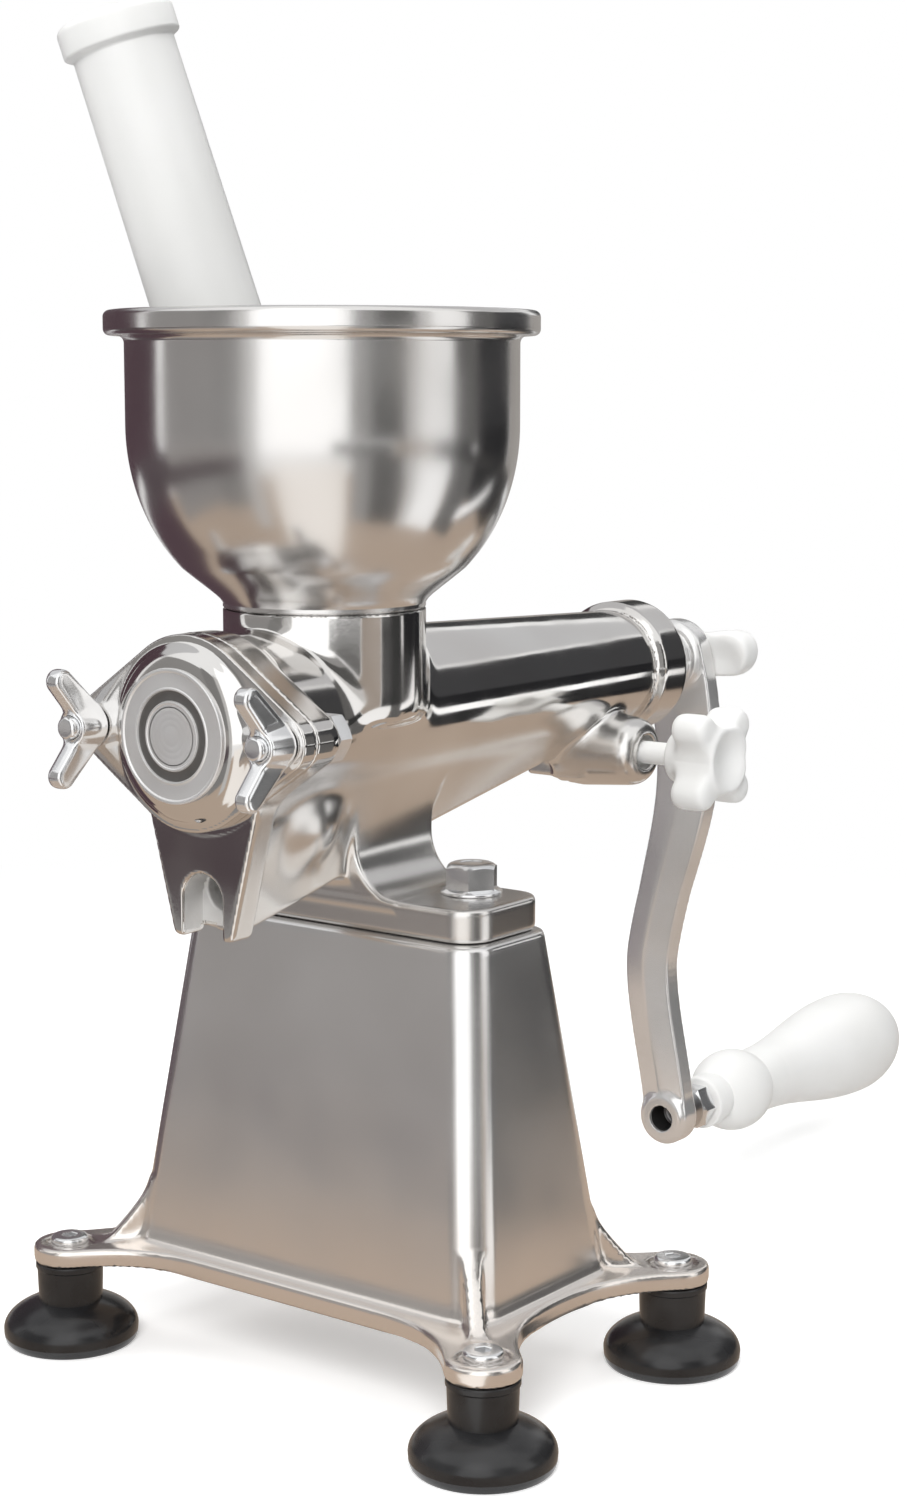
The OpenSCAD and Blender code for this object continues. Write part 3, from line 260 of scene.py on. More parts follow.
# Meshes a field with one point in each crossed cell, pulled onto the surface
def fieldObject(name, field, low, high, step):
    m = meshing
    low, high = low - m["margin"] * step, high + m["margin"] * step
    values = sampleField(field, low, high, step)
    shape = np.array(values.shape) - 1
    total, crossings = np.zeros((*shape, 3)), np.zeros(shape)
    unit = np.eye(3, dtype=int)
    edges = []
    for axis in range(3):
        sides = [(axis + 1) % 3, (axis + 2) % 3]
        found = np.argwhere(np.diff(values < 0, axis=axis))
        found = found[((found[:, sides] > 0) & (found[:, sides] < shape[sides])).all(1)]
        here, beyond = values[tuple(found.T)], values[tuple((found + unit[axis]).T)]
        point = found + np.outer(here / (here - beyond), unit[axis])
        u, v = unit[sides]
        for shift in (0 * u, v, u, u + v):
            cell = tuple((found - shift).T)
            np.add.at(total, cell, point)
            np.add.at(crossings, cell, 1)
        edges.append((found, (u + v, v, 0 * u, u), here < 0))
    used = tuple(np.argwhere(crossings > 0).T)
    cells = np.full(shape, -1)
    cells[used] = np.arange(len(used[0]))
    quads = []
    for found, around, outward in edges:
        quad = np.stack([cells[tuple((found - shift).T)] for shift in around], axis=1)
        quad[~outward] = quad[~outward][:, ::-1]
        quads.append(quad)
    quads = np.concatenate(quads)
    points = low + total[used] / crossings[used][:, None] * step
    for turn in range(m["rounds"] + 1):
        if turn:
            middle = points[quads].mean(1)
            moved, count = np.zeros_like(points), np.zeros(len(points))
            for k in range(4):
                np.add.at(moved, quads[:, k], middle)
                np.add.at(count, quads[:, k], 1)
            points = points * (1 - m["relax"]) + moved / count[:, None] * m["relax"]
        for _ in range(m["pulls"]):
            slope = fieldSlope(field, points, step * m["probe"])
            size = np.maximum((slope * slope).sum(1), m["leastSlope"])
            shift = field(points)[:, None] * slope / size[:, None]
            points = points - np.clip(shift, -step, step)
    normals = fieldSlope(field, points, step * m["normalProbe"])
    normals /= np.maximum(np.linalg.norm(normals, axis=1), 1e-9)[:, None]
    made = makeObject(name, points, quads.tolist())
    made.data.normals_split_custom_set_from_vertices(normals.tolist())
    print(name, len(points), "points")
    return made


# Gives a piece its finishes and its body, and hides the node that it stands for
def standFor(piece, node, *looks):
    for look in looks:
        piece.data.materials.append(finishes[look])
    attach(piece, bodyOf[node])
    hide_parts(node)
    return piece


def fieldPiece(name, node, field, step, *looks, margin=0):
    low, high = nodeSpan(node)
    return standFor(fieldObject(name, field, low - margin, high + margin, step), node, *looks)


def turnedPiece(name, node, axis, ringsFor, look, sharpAngle=28):
    start, length = turnedFrame(node, axis)
    made = latheObject(name, [latheArrays(ringsFor(length), start, axis)], sharpAngle)
    return standFor(made, node, look)


# Equal screws or bolts at several places, whose part along the axis is 0
def boltPiece(name, node, axis, ringsFor, places, sharpAngle):
    axis = np.array(axis)
    first, last = sorted(end @ axis for end in nodeSpan(node))
    rings = ringsFor(last - first)
    parts = [latheArrays(rings, np.array(place) + axis * first, axis) for place in places]
    return standFor(latheObject(name, parts, sharpAngle), node, "brightZinc")


# A shader group that turns a place and some numbers into one number
def newGroup(name, numbers, result):
    group = bpy.data.node_groups.new(name, "ShaderNodeTree")
    group.interface.new_socket("Vector", in_out="INPUT", socket_type="NodeSocketVector")
    for number in numbers:
        group.interface.new_socket(number, in_out="INPUT", socket_type="NodeSocketFloat")
    group.interface.new_socket(result, in_out="OUTPUT", socket_type="NodeSocketFloat")
    return group, group.nodes.new("NodeGroupInput").outputs, group.nodes.new("NodeGroupOutput")


# Sets or links inputs by name, with _ for a space, or by number as in i0
def setInputs(tree, node, **inputs):
    for key, value in inputs.items():
        socket = node.inputs[int(key[1:]) if key[1:].isdigit() else key.replace("_", " ")]
        if isinstance(value, bpy.types.NodeSocket):
            tree.links.new(value, socket)
        else:
            socket.default_value = value


def addNode(tree, kind, settings=None, **inputs):
    node = tree.nodes.new(kind)
    for key, value in (settings or {}).items():
        setattr(node, key, value)
    setInputs(tree, node, **inputs)
    return node


def mathNode(tree, operation, *values):
    inputs = {f"i{k}": value for k, value in enumerate(values)}
    return addNode(tree, "ShaderNodeMath", {"operation": operation}, **inputs).outputs[0]


# Soft clouds between two levels, for roughness and tint
def makeCloudGroup():
    group, given, out = newGroup("softClouds", ("Scale", "Low", "High"), "Value")
    noise = addNode(group, "ShaderNodeTexNoise", Vector=given["Vector"], Scale=given["Scale"],
                    Detail=1.5, Roughness=0.5)
    level = addNode(group, "ShaderNodeMapRange", {"interpolation_type": "SMOOTHERSTEP"},
                    Value=noise.outputs["Fac"], From_Min=0.2, From_Max=0.8,
                    To_Min=given["Low"], To_Max=given["High"])
    setInputs(group, out, Value=level.outputs["Result"])
    return group


# Height of a cast surface: slow waves, fine grain and stretched hairlines
def makeCastGroup():
    group, given, out = newGroup("castHeight", ("Wave Scale", "Wave", "Grain Scale", "Grain", "Hairline"),
                                 "Height")
    vector = given["Vector"]
    wave = addNode(group, "ShaderNodeTexNoise", Vector=vector, Scale=given["Wave Scale"], Detail=1.0)
    grain = addNode(group, "ShaderNodeTexNoise", Vector=vector, Scale=given["Grain Scale"], Detail=2.0)
    stretch = addNode(group, "ShaderNodeMapping", Vector=vector, Scale=(60.0, 60.0, 2200.0))
    line = addNode(group, "ShaderNodeTexNoise", Vector=stretch.outputs["Vector"], Scale=1.0, Detail=2.0)
    height = 0.0
    for noise, amount in ((wave, "Wave"), (grain, "Grain"), (line, "Hairline")):
        height = mathNode(group, "MULTIPLY_ADD", noise.outputs["Fac"], given[amount], height)
    setInputs(group, out, Height=height)
    return group


cloudGroup = makeCloudGroup()
castGroup = makeCastGroup()


def useGroup(tree, group, **inputs):
    return addNode(tree, "ShaderNodeGroup", {"node_tree": group}, **inputs).outputs[0]


# A finish from a few numbers: tints, roughness range, waves, grain and hairlines
def makeFinish(name, look):
    finish = bpy.data.materials.new(name)
    finish.use_nodes = True
    tree = finish.node_tree
    shader = tree.nodes["Principled BSDF"]
    place = tree.nodes.new("ShaderNodeTexCoord").outputs["Object"]
    tint = useGroup(tree, cloudGroup, Vector=place, Scale=look["tintScale"], Low=0.0, High=1.0)
    colour = addNode(tree, "ShaderNodeMix", {"data_type": "RGBA"}, i0=tint,
                     i6=(*look["colour"], 1), i7=(*look["tint"], 1)).outputs[2]
    rough = useGroup(tree, cloudGroup, Vector=place, Scale=look["roughScale"],
                     Low=look["rough"][0], High=look["rough"][1])
    height = useGroup(tree, castGroup, Vector=place, Wave_Scale=look["waveScale"], Wave=look["wave"],
                      Grain_Scale=look["grainScale"], Grain=look["grain"], Hairline=look["hairline"])
    bump = addNode(tree, "ShaderNodeBump", Strength=1.0, Distance=look["bump"], Height=height)
    if "satin" in look:
        share = addNode(tree, "ShaderNodeAttribute", {"attribute_name": "satin"}).outputs["Fac"]
        rough = addNode(tree, "ShaderNodeMix", Factor=share, A=rough, B=look["satin"]).outputs["Result"]
    # Painted reflection: the colour turns warmer towards the bottom, standing in for a warm floor mirrored there
    if "paintedWarmReflection" in look:
        low, high, warm = look["paintedWarmReflection"]
        upward = addNode(tree, "ShaderNodeSeparateXYZ", Vector=place).outputs["Z"]
        share = addNode(tree, "ShaderNodeMapRange", {"interpolation_type": "SMOOTHSTEP"}, Value=upward,
                        From_Min=low, From_Max=high)
        colour = addNode(tree, "ShaderNodeMix", {"data_type": "RGBA"}, i0=share.outputs["Result"],
                         i6=(*warm, 1), i7=colour).outputs[2]
    setInputs(tree, shader, Metallic=look["metal"], Base_Color=colour, Roughness=rough,
              Normal=bump.outputs["Normal"], **look.get("extra", {}))
    if look.get("turned"):
        tangent = addNode(tree, "ShaderNodeTangent", {"direction_type": "RADIAL", "axis": "Y"})
        setInputs(tree, shader, Tangent=tangent.outputs["Tangent"])
    return finish


finishLooks = {
    "polishedCasting": {
        "metal": 1.0, "colour": (0.80, 0.79, 0.775), "tint": (0.72, 0.70, 0.68), "tintScale": 22.0,
        "rough": (0.07, 0.13), "roughScale": 45.0, "waveScale": 42.0, "wave": 0.2,
        "grainScale": 700.0, "grain": 0.008, "hairline": 0.001, "bump": 0.0006},
    "spunBowl": {
        "metal": 1.0, "colour": (0.80, 0.79, 0.78), "tint": (0.73, 0.715, 0.70), "tintScale": 16.0,
        "rough": (0.17, 0.26), "roughScale": 28.0, "waveScale": 26.0, "wave": 0.3,
        "grainScale": 800.0, "grain": 0.01, "hairline": 0.008, "bump": 0.0006},
    "roughCasting": {
        "metal": 0.6, "colour": (0.74, 0.735, 0.725), "tint": (0.64, 0.635, 0.625), "tintScale": 60.0,
        "rough": (0.48, 0.62), "roughScale": 60.0, "waveScale": 120.0, "wave": 0.3,
        "grainScale": 900.0, "grain": 0.15, "hairline": 0.0, "bump": 0.0006},
    # Painted shade: a dark, rough finish for the groove ring on the cap's face
    "paintedGrooveShade": {
        "metal": 1.0, "colour": (0.30, 0.295, 0.29), "tint": (0.22, 0.215, 0.21), "tintScale": 90.0,
        "rough": (0.4, 0.55), "roughScale": 90.0, "waveScale": 120.0, "wave": 0.1,
        "grainScale": 1200.0, "grain": 0.1, "hairline": 0.0, "bump": 0.0004},
    "deepShade": {
        "metal": 0.3, "colour": (0.02, 0.02, 0.02), "tint": (0.03, 0.03, 0.03), "tintScale": 90.0,
        "rough": (0.5, 0.65), "roughScale": 90.0, "waveScale": 120.0, "wave": 0.1,
        "grainScale": 1200.0, "grain": 0.05, "hairline": 0.0, "bump": 0.0004},
    "satinCasting": {
        "metal": 0.95, "colour": (0.85, 0.845, 0.84), "tint": (0.77, 0.76, 0.75), "tintScale": 18.0,
        # painted warm reflection towards the stand's foot
        "paintedWarmReflection": (0.02, 0.12, (0.87, 0.82, 0.775)),
        "rough": (0.19, 0.26), "roughScale": 30.0, "waveScale": 30.0, "wave": 0.25,
        "grainScale": 900.0, "grain": 0.005, "hairline": 0.003, "bump": 0.0008},
    "satinArm": {
        "metal": 0.74, "colour": (0.88, 0.875, 0.87), "tint": (0.79, 0.785, 0.78), "tintScale": 30.0,
        "rough": (0.19, 0.26), "roughScale": 40.0, "waveScale": 30.0, "wave": 0.25,
        "grainScale": 900.0, "grain": 0.004, "hairline": 0.002, "bump": 0.0006},
    "turnedCasting": {
        "metal": 0.75, "colour": (0.82, 0.815, 0.81), "tint": (0.74, 0.735, 0.73), "tintScale": 40.0,
        "rough": (0.32, 0.4), "roughScale": 60.0, "waveScale": 40.0, "wave": 0.1, "turned": True,
        "grainScale": 900.0, "grain": 0.01, "hairline": 0.002, "bump": 0.0004, "extra": {"Anisotropic": 0.7}},
    "brightZinc": {
        "metal": 0.92, "colour": (0.90, 0.905, 0.91), "tint": (0.82, 0.825, 0.835), "tintScale": 60.0,
        "rough": (0.12, 0.2), "roughScale": 120.0, "waveScale": 120.0, "wave": 0.08,
        "grainScale": 1500.0, "grain": 0.02, "hairline": 0.01, "bump": 0.0004},
    "machinedSteel": {
        "metal": 1.0, "colour": (0.64, 0.64, 0.65), "tint": (0.52, 0.52, 0.53), "tintScale": 50.0,
        "rough": (0.29, 0.36), "roughScale": 90.0, "waveScale": 60.0, "wave": 0.03,
        "grainScale": 1200.0, "grain": 0.02, "hairline": 0.05, "bump": 0.0004},
    "bushBronze": {
        "metal": 1.0, "colour": (0.66, 0.48, 0.27), "tint": (0.55, 0.38, 0.2), "tintScale": 60.0,
        "rough": (0.3, 0.42), "roughScale": 90.0, "waveScale": 60.0, "wave": 0.03,
        "grainScale": 1500.0, "grain": 0.08, "hairline": 0.01, "bump": 0.0004},
    "whiteNylon": {
        "metal": 0.0, "colour": (0.86, 0.86, 0.85), "tint": (0.82, 0.82, 0.805), "tintScale": 25.0,
        "rough": (0.34, 0.46), "roughScale": 60.0, "waveScale": 45.0, "wave": 0.1,
        "grainScale": 1400.0, "grain": 0.015, "hairline": 0.01, "bump": 0.0005,
        "extra": {"Subsurface Weight": 0.12, "Subsurface Radius": (0.004, 0.004, 0.0038), "IOR": 1.5}},
    "blackRubber": {
        "metal": 0.0, "colour": (0.012, 0.012, 0.013), "tint": (0.024, 0.024, 0.025), "tintScale": 70.0,
        "rough": (0.2, 0.26), "roughScale": 70.0, "waveScale": 60.0, "wave": 0.08,
        "grainScale": 1800.0, "grain": 0.03, "hairline": 0.0, "bump": 0.0005},
}
finishLooks["bodyCasting"] = {**finishLooks["polishedCasting"], "satin": 0.24}
finishes = {name: makeFinish(name, look) for name, look in finishLooks.items()}
slotFinish = {"cast_aluminium": "polishedCasting", "zinc_steel": "brightZinc", "plain_steel": "machinedSteel",
              "bronze": "bushBronze", "white_nylon": "whiteNylon", "black_rubber": "blackRubber"}
for node, cadObject in frame["nodes"].items():
    cadObject.data.materials.clear()
    cadObject.data.materials.append(finishes[slotFinish[slotOf[node]]])
print("finishes:", len(finishes))

# Body casting: barrel, neck, keel, trough, spout plate, pedestal and flange in one flowing form
body = {
    "frontR": 31.6, "rearR": 23.2, "collarY": 156.0, "collarR": 26.5, "collarChamfer": 2.6,
    "neckR": 35.4, "neckLow": 238.0, "neckRound": 10.0,
    "ovalR": 33.0, "earR": 9.5, "boltX": 41.8, "flangeT": 13.0, "ovalEdge": 6.0, "boltHoleR": 4.3,
    "plateTopW": 25.0, "plateLowW": 13.0, "plateTopZ": 216.0, "plateT": 11.0, "plateEdge": 3.0,
    "keelFrontZ": 170.0, "keelRearZ": 216.0, "keelR": 7.0, "troughRearY": -22.0, "troughR": 9.0,
    "bellyR": 14.0, "bellyX": 7.5, "bellyY": -48.0, "bellyZ": 206.0, "columnTop": 214.0,
    "columnW": 12.0, "columnFillet": 18.0, "flangeFootT": 12.0, "flangeCorner": 12.0,
    "flangeFrontY": -20.5, "flangeRearY": 24.5, "flangeBoltX": 41.0, "flangeBoltY": 9.0, "flangeHoleR": 5.3,
    "chokeY": 130.0, "chokeZ": 211.5, "bossR": 14.0, "bossX": 36.0, "mouthR": 6.6, "mouthL": 5.0,
    "rodHoleR": 4.45, "chuteX": (-13.0, 14.0), "chuteD": 12.0, "chuteZ": (200.0, 222.0), "outletR": 8.0,
    "boreFrontR": 27.4, "boreRearR": 17.9, "boreEndY": 142.0, "shaftHoleR": 9.0, "bushR": 11.55,
    "bushY": 153.0, "throatR": 30.5, "spigotR": 32.85, "spigotL": 7.0, "archR": 9.0, "archZ": 183.0,
    "channelFrontR": 7.5, "channelRearR": 4.5, "channelEndY": 104.0, "channelEndZ": 214.2,
    "keelBlend": 3.0, "neckBlend": 6.0, "spoutBlend": 5.0, "bellyBlend": 16.0, "ovalBlend": 4.0,
    "pedestalBlend": 6.0, "chokeBlend": 8.0, "cutEdge": 1.3, "keelTop": 6.0, "keelTopShare": 0.84,
    "keelLean": 0.97, "troughLean": 0.93, "floorLean": 0.97,
    "boltHoleEndY": -60.0, "footHoleTop": 190.0, "outletTop": 9.0,
    "satinTop": 6.0, "satinFade": 9.0, "plateSkin": 1.0, "plateFade": 3.0, "skinDepth": 1.0, "step": 0.95}


# A size that changes evenly along the barrel
def alongBarrel(y, front, rear):
    share = (y - jointY) / (body["collarY"] - jointY)
    return front + (rear - front) * share


def keelZ(y):
    return alongBarrel(y, body["keelFrontZ"], body["keelRearZ"])


# The oval that the front flange and the cap share
def ovalField(x, z):
    return taperedSlot(np.abs(x), z - axisZ, body["ovalR"], body["earR"], body["boltX"])


def barrelField(p):
    q = np.hypot(p[:, 0], p[:, 2] - axisZ)
    y, b = p[:, 1], body
    rear, chamfer = bodyHigh[1], b["collarChamfer"]
    barrel = turnedField(q, y, [(b["frontR"], jointY), (b["rearR"], b["collarY"])], 0.8)
    collar = turnedField(q, y, [(b["collarR"] - chamfer, b["collarY"]),
                                (b["collarR"], b["collarY"] + chamfer), (b["collarR"], rear - 1.2),
                                (b["collarR"] - 1.2, rear)], 1.0)
    return unite(0.8, barrel, collar)


def keelField(p):
    y, b = p[:, 1], body
    low = keelZ(y) + b["keelR"]
    topR = alongBarrel(y, b["frontR"], b["rearR"]) * b["keelTopShare"]
    topZ = axisZ - b["keelTop"]
    wall = taperedSlot(topZ - p[:, 2], p[:, 0], topR, b["keelR"], np.maximum(topZ - low, 1))
    return overlap(2, wall * b["keelLean"], slab(y, jointY + 4, b["collarY"] - 6))


def spoutField(p):
    x, y, z = p.T
    b = body
    lowZ = b["keelFrontZ"]
    slant = (b["plateTopW"] - b["plateLowW"]) / (b["plateTopZ"] - lowZ)
    half = b["plateLowW"] + slant * (z - lowZ)
    outline = overlap(b["plateEdge"], (np.abs(x) - half) / math.hypot(1, slant), lowZ - z, z - axisZ)
    plate = overlap(2.6, outline, slab(y, jointY, jointY + b["plateT"]))
    share = np.clip((y - jointY) / (b["troughRearY"] - jointY), 0, 1.2)
    narrow = half * (1 - share) + b["troughR"] * share
    floor = keelZ(y)
    trough = overlap(3, (np.abs(x) - narrow + 1.5) * b["troughLean"], (floor - z) * b["floorLean"],
                     z - b["plateTopZ"] + 8, slab(y, jointY + 2, b["troughRearY"] + 8))
    return unite(2.5, plate, trough)


def pedestalField(p):
    x, y, z = p.T
    b = body
    top = bodyLow[2] + b["flangeFootT"]
    middleY = (b["flangeFrontY"] + b["flangeRearY"]) / 2
    halfY = (b["flangeRearY"] - b["flangeFrontY"]) / 2
    plan = roundRect(x, y - middleY, bodyHigh[0], halfY, b["flangeCorner"])
    foot = overlap(3, plan, slab(z, bodyLow[2], top))
    reach = b["columnW"] + b["columnFillet"]
    fillet = b["columnFillet"] - np.hypot(np.abs(x) - reach, np.maximum(top + b["columnFillet"] - z, 0))
    column = overlap(0.8, fillet, np.abs(x) - reach, z - b["columnTop"], top - 4 - z)
    column = overlap(3, column, slab(y, b["flangeFrontY"], b["flangeRearY"]))
    return unite(1.5, foot, column)


def chokeField(p):
    x, y, z = p.T
    b = body
    q = np.hypot(y - b["chokeY"], z - b["chokeZ"])
    boss = turnedField(q, x, [(b["bossR"] + 2, 0), (b["bossR"] - 0.8, b["bossX"] - 3.5),
                              (b["bossR"] - 4, b["bossX"])], 3)
    low, high = b["chuteX"]
    chute = overlap(2.5, slab(x, low, high), slab(y, b["chokeY"] - b["chuteD"], b["chokeY"] + b["chuteD"]),
                    slab(z, *b["chuteZ"]))
    return unite(3, boss, chute)


def bodyCuts(p):
    x, y, z = p.T
    b = body
    up = z - axisZ
    q = np.hypot(x, up)
    slope = (b["boreRearR"] - b["boreFrontR"]) / (b["boreEndY"] - jointY)
    bore = np.maximum(q - b["boreFrontR"] - slope * (y - jointY), y - b["boreEndY"])
    shaft = q - np.where(y > b["bushY"], b["bushR"], b["shaftHoleR"])
    fromNeck = np.hypot(x, y - hopperY)
    throat = np.maximum(fromNeck - b["throatR"], axisZ - z)
    spigot = np.maximum(fromNeck - b["spigotR"], bodyHigh[2] - b["spigotL"] - z)
    bolts = np.maximum(np.hypot(np.abs(x) - b["boltX"], up) - b["boltHoleR"], y - b["boltHoleEndY"])
    fromBolt = np.hypot(np.abs(x) - b["flangeBoltX"], y - b["flangeBoltY"])
    feet = np.maximum(fromBolt - b["flangeHoleR"], z - b["footHoleTop"])
    arch = np.hypot(x, np.maximum(z - b["archZ"], 0)) - b["archR"]
    arch = np.maximum(arch, y - jointY - b["plateT"])
    channel = capsule(p, (0, jointY - 2, b["archZ"]), (0, b["channelEndY"], b["channelEndZ"]),
                      b["channelFrontR"], b["channelRearR"])
    outlet = np.maximum(np.hypot(x, y - b["chokeY"]) - b["outletR"], z - axisZ + b["outletTop"])
    fromRod = np.hypot(y - b["chokeY"], z - b["chokeZ"])
    mouth = np.maximum(fromRod - b["mouthR"], b["bossX"] - b["mouthL"] - x)
    rod = np.maximum(fromRod - b["rodHoleR"], -x)
    return [bore, shaft, throat, spigot, bolts, feet, arch, channel, outlet, mouth, rod]


def bodySolid(p):
    x, y, z = p.T
    b = body
    barrel = barrelField(p)
    fromNeck = np.hypot(x, y - hopperY)
    neck = overlap(b["neckRound"], fromNeck - b["neckR"], b["neckLow"] - z)
    neck = overlap(0.8, neck, z - bodyHigh[2])
    oval = overlap(b["ovalEdge"], ovalField(x, z), y - jointY - b["flangeT"])
    oval = overlap(1.5, oval, jointY - y)
    side = np.stack((np.abs(x), y, z), axis=1)
    belly = np.linalg.norm(side - (b["bellyX"], b["bellyY"], b["bellyZ"]), axis=1) - b["bellyR"]
    solid = unite(b["keelBlend"], barrel, keelField(p))
    solid = unite(b["neckBlend"], solid, neck)
    solid = unite(b["spoutBlend"], solid, spoutField(p))
    solid = unite(b["bellyBlend"], solid, belly)
    solid = unite(b["ovalBlend"], solid, oval)
    solid = unite(b["pedestalBlend"], solid, pedestalField(p))
    solid = unite(b["chokeBlend"], solid, chokeField(p))
    return overlap(0.6, solid, jointY - y)


def bodyField(p):
    return carve(bodySolid(p), body["cutEdge"], *bodyCuts(p))


# Satin skin below the polished barrel, apart from the spout plate's face
def markSatin(piece):
    points = meshPoints(piece)
    satin = np.clip((axisZ - body["satinTop"] - points[:, 2]) / body["satinFade"], 0, 1)
    satin *= np.clip((points[:, 1] - jointY - body["plateSkin"]) / body["plateFade"], 0, 1)
    layer = piece.data.attributes.new("satin", "FLOAT", "POINT")
    layer.data.foreach_set("value", satin.astype(np.float32))


# Cut faces keep the rough skin of the casting
def markInside(piece, solid, depth):
    inside = solid(meshPoints(piece)) < -depth
    for face in piece.data.polygons:
        face.material_index = int(all(inside[i] for i in face.vertices))


bodyPiece = fieldPiece("bodyCasting", "body_casting", bodyField, body["step"], "bodyCasting", "roughCasting")
markInside(bodyPiece, bodySolid, body["skinDepth"])
markSatin(bodyPiece)

# Stand: a leaning hollow block on a foot flange with four ears
stand = {"lowW": 164.5, "lowD": 86.0, "topW": 133.5, "topD": 50.0, "wall": 5.0, "topT": 7.0, "edgeR": 12.0,
         "footFlange": 4.0, "earR": 13.2, "earT": 7.0, "sweep": 26.0, "recessR": 8.8, "recessT": 1.6,
         "ribT": 6.0, "ribTop": 60.0, "ribFoot": 13.0, "ribHollow": 1.4, "screwR": 4.3, "boltHoleR": 5.3,
         "flangeBlend": 9.0, "ribBlend": 4.0, "sideLean": 0.985, "ribLean": 0.75, "step": 1.5}
standLow, standHigh = nodeSpan("base_stand")
footX = standHigh[0] - stand["earR"]
footY = standHigh[1] - stand["earR"]


def standBlock(p, inset, lowZ, highZ, edge):
    s = stand
    share = (p[:, 2] - standLow[2]) / (standHigh[2] - standLow[2])
    halfX = (s["lowW"] + (s["topW"] - s["lowW"]) * share) / 2 - inset
    halfY = (s["lowD"] + (s["topD"] - s["lowD"]) * share) / 2 - inset
    side = roundRect(p[:, 0], p[:, 1], halfX, halfY, s["edgeR"])
    return overlap(edge, side * s["sideLean"], slab(p[:, 2], lowZ, highZ))


def standField(p):
    x, y, z = p.T
    s = stand
    low, high = standLow[2], standHigh[2]
    earTop = low + s["earT"]
    block = standBlock(p, 0, low, high, 3)
    cornerX, cornerY = s["lowW"] / 2 - s["edgeR"], s["lowD"] / 2 - s["edgeR"]
    reachX, reachY = footX - cornerX, footY - cornerY
    reach = math.hypot(reachX, reachY)
    ax, ay = np.abs(x) - cornerX, np.abs(y) - cornerY
    along = (ax * reachX + ay * reachY) / reach
    across = (ay * reachX - ax * reachY) / reach
    rim = s["footFlange"]
    plan = unite(s["sweep"], roundRect(x, y, s["lowW"] / 2 + rim, s["lowD"] / 2 + rim, s["edgeR"] + rim),
                 taperedSlot(along, across, s["earR"] - 1, s["earR"], reach))
    flange = overlap(3, plan, slab(z, low, earTop))
    lean = (z - low) / (high - low)
    inward = ((s["lowW"] - s["topW"]) * reachX + (s["lowD"] - s["topD"]) * reachY) / (2 * reach) * lean
    share = np.clip((z - earTop) / (s["ribTop"] - earTop), 0, 1)
    ribReach = s["edgeR"] + s["ribFoot"] * (1 - share) ** s["ribHollow"]
    rib = overlap(2.6, np.abs(across) - s["ribT"] / 2, (along + inward - ribReach) * s["ribLean"],
                  slab(z, low, s["ribTop"]))
    solid = unite(s["flangeBlend"], block, flange)
    solid = unite(s["ribBlend"], solid, rib)
    solid = overlap(0.8, solid, low - z)
    fromFoot = np.hypot(np.abs(x) - footX, np.abs(y) - footY)
    recess = np.maximum(fromFoot - s["recessR"], earTop - s["recessT"] - z)
    hollow = standBlock(p, s["wall"], low - 20, high - s["topT"], 3)
    bolts = np.hypot(np.abs(x) - body["flangeBoltX"], y - body["flangeBoltY"]) - s["boltHoleR"]
    bolts = np.maximum(bolts, high - 30 - z)
    return carve(solid, 0.8, recess, fromFoot - s["screwR"], hollow, bolts)


fieldPiece("baseStand", "base_stand", standField, stand["step"], "satinCasting")

# Hopper bowl: turned, with a flared foot, a rolled rim and an open throat
bowl = {"centreZ": 340.0, "outerR": 68.0, "innerR": 64.5, "footR": 35.4, "spigotR": 32.8, "throatR": 30.5,
        "rimR": 75.0, "rimH": 8.5, "rimRound": 2.2, "fullness": 0.88, "flareEnd": -46.0,
        "flare": ((-0.5, 0.3), (0.0, 0.8), (0.0, 2.0), (0.9, 3.4), (2.6, 5.0), (5.8, 7.6), (9.4, 10.4))}


def bowlRings():
    b = bowl
    low, high = nodeSpan("hopper_bowl")
    jointZ, top = bodyHigh[2], high[2]
    rings = [(b["throatR"], low[2]), (b["spigotR"], low[2]), (b["spigotR"], jointZ + 0.3)]
    rings += [(b["footR"] + out, jointZ + up) for out, up in b["flare"]]
    for a in np.linspace(math.radians(b["flareEnd"]), 0, 24):
        rings.append((b["outerR"] * math.cos(a) ** b["fullness"], b["centreZ"] + b["outerR"] * math.sin(a)))
    rimZ = top - b["rimH"]
    rings += roundedOutline([(b["outerR"], b["centreZ"] + 2), (b["outerR"], rimZ, 2.5),
                             (b["rimR"], rimZ, b["rimRound"]), (b["rimR"], top, b["rimRound"]),
                             (b["innerR"], top, 2.0), (b["innerR"], b["centreZ"] + 2)])
    throatEdge = math.acos(b["throatR"] / b["innerR"])
    for a in np.linspace(0, -throatEdge, 24):
        rings.append((b["innerR"] * math.cos(a), b["centreZ"] + b["innerR"] * math.sin(a)))
    rings.append((b["throatR"], low[2]))
    return rings


bowlPlace = np.array((0, hopperY, 0))
standFor(latheObject("hopperBowl", [latheArrays(bowlRings(), bowlPlace, (0, 0, 1), 144)]),
         "hopper_bowl", "spunBowl")

# Suction feet: a stem on a hollow domed cup
foot = {"stemR": 12.2, "ringR": 12.7, "waistR": 11.8, "cupR": 25.0, "edgeZ": 5.0, "domeH": 12.0, "lipW": 3.0,
        "hollowH": 4.5}


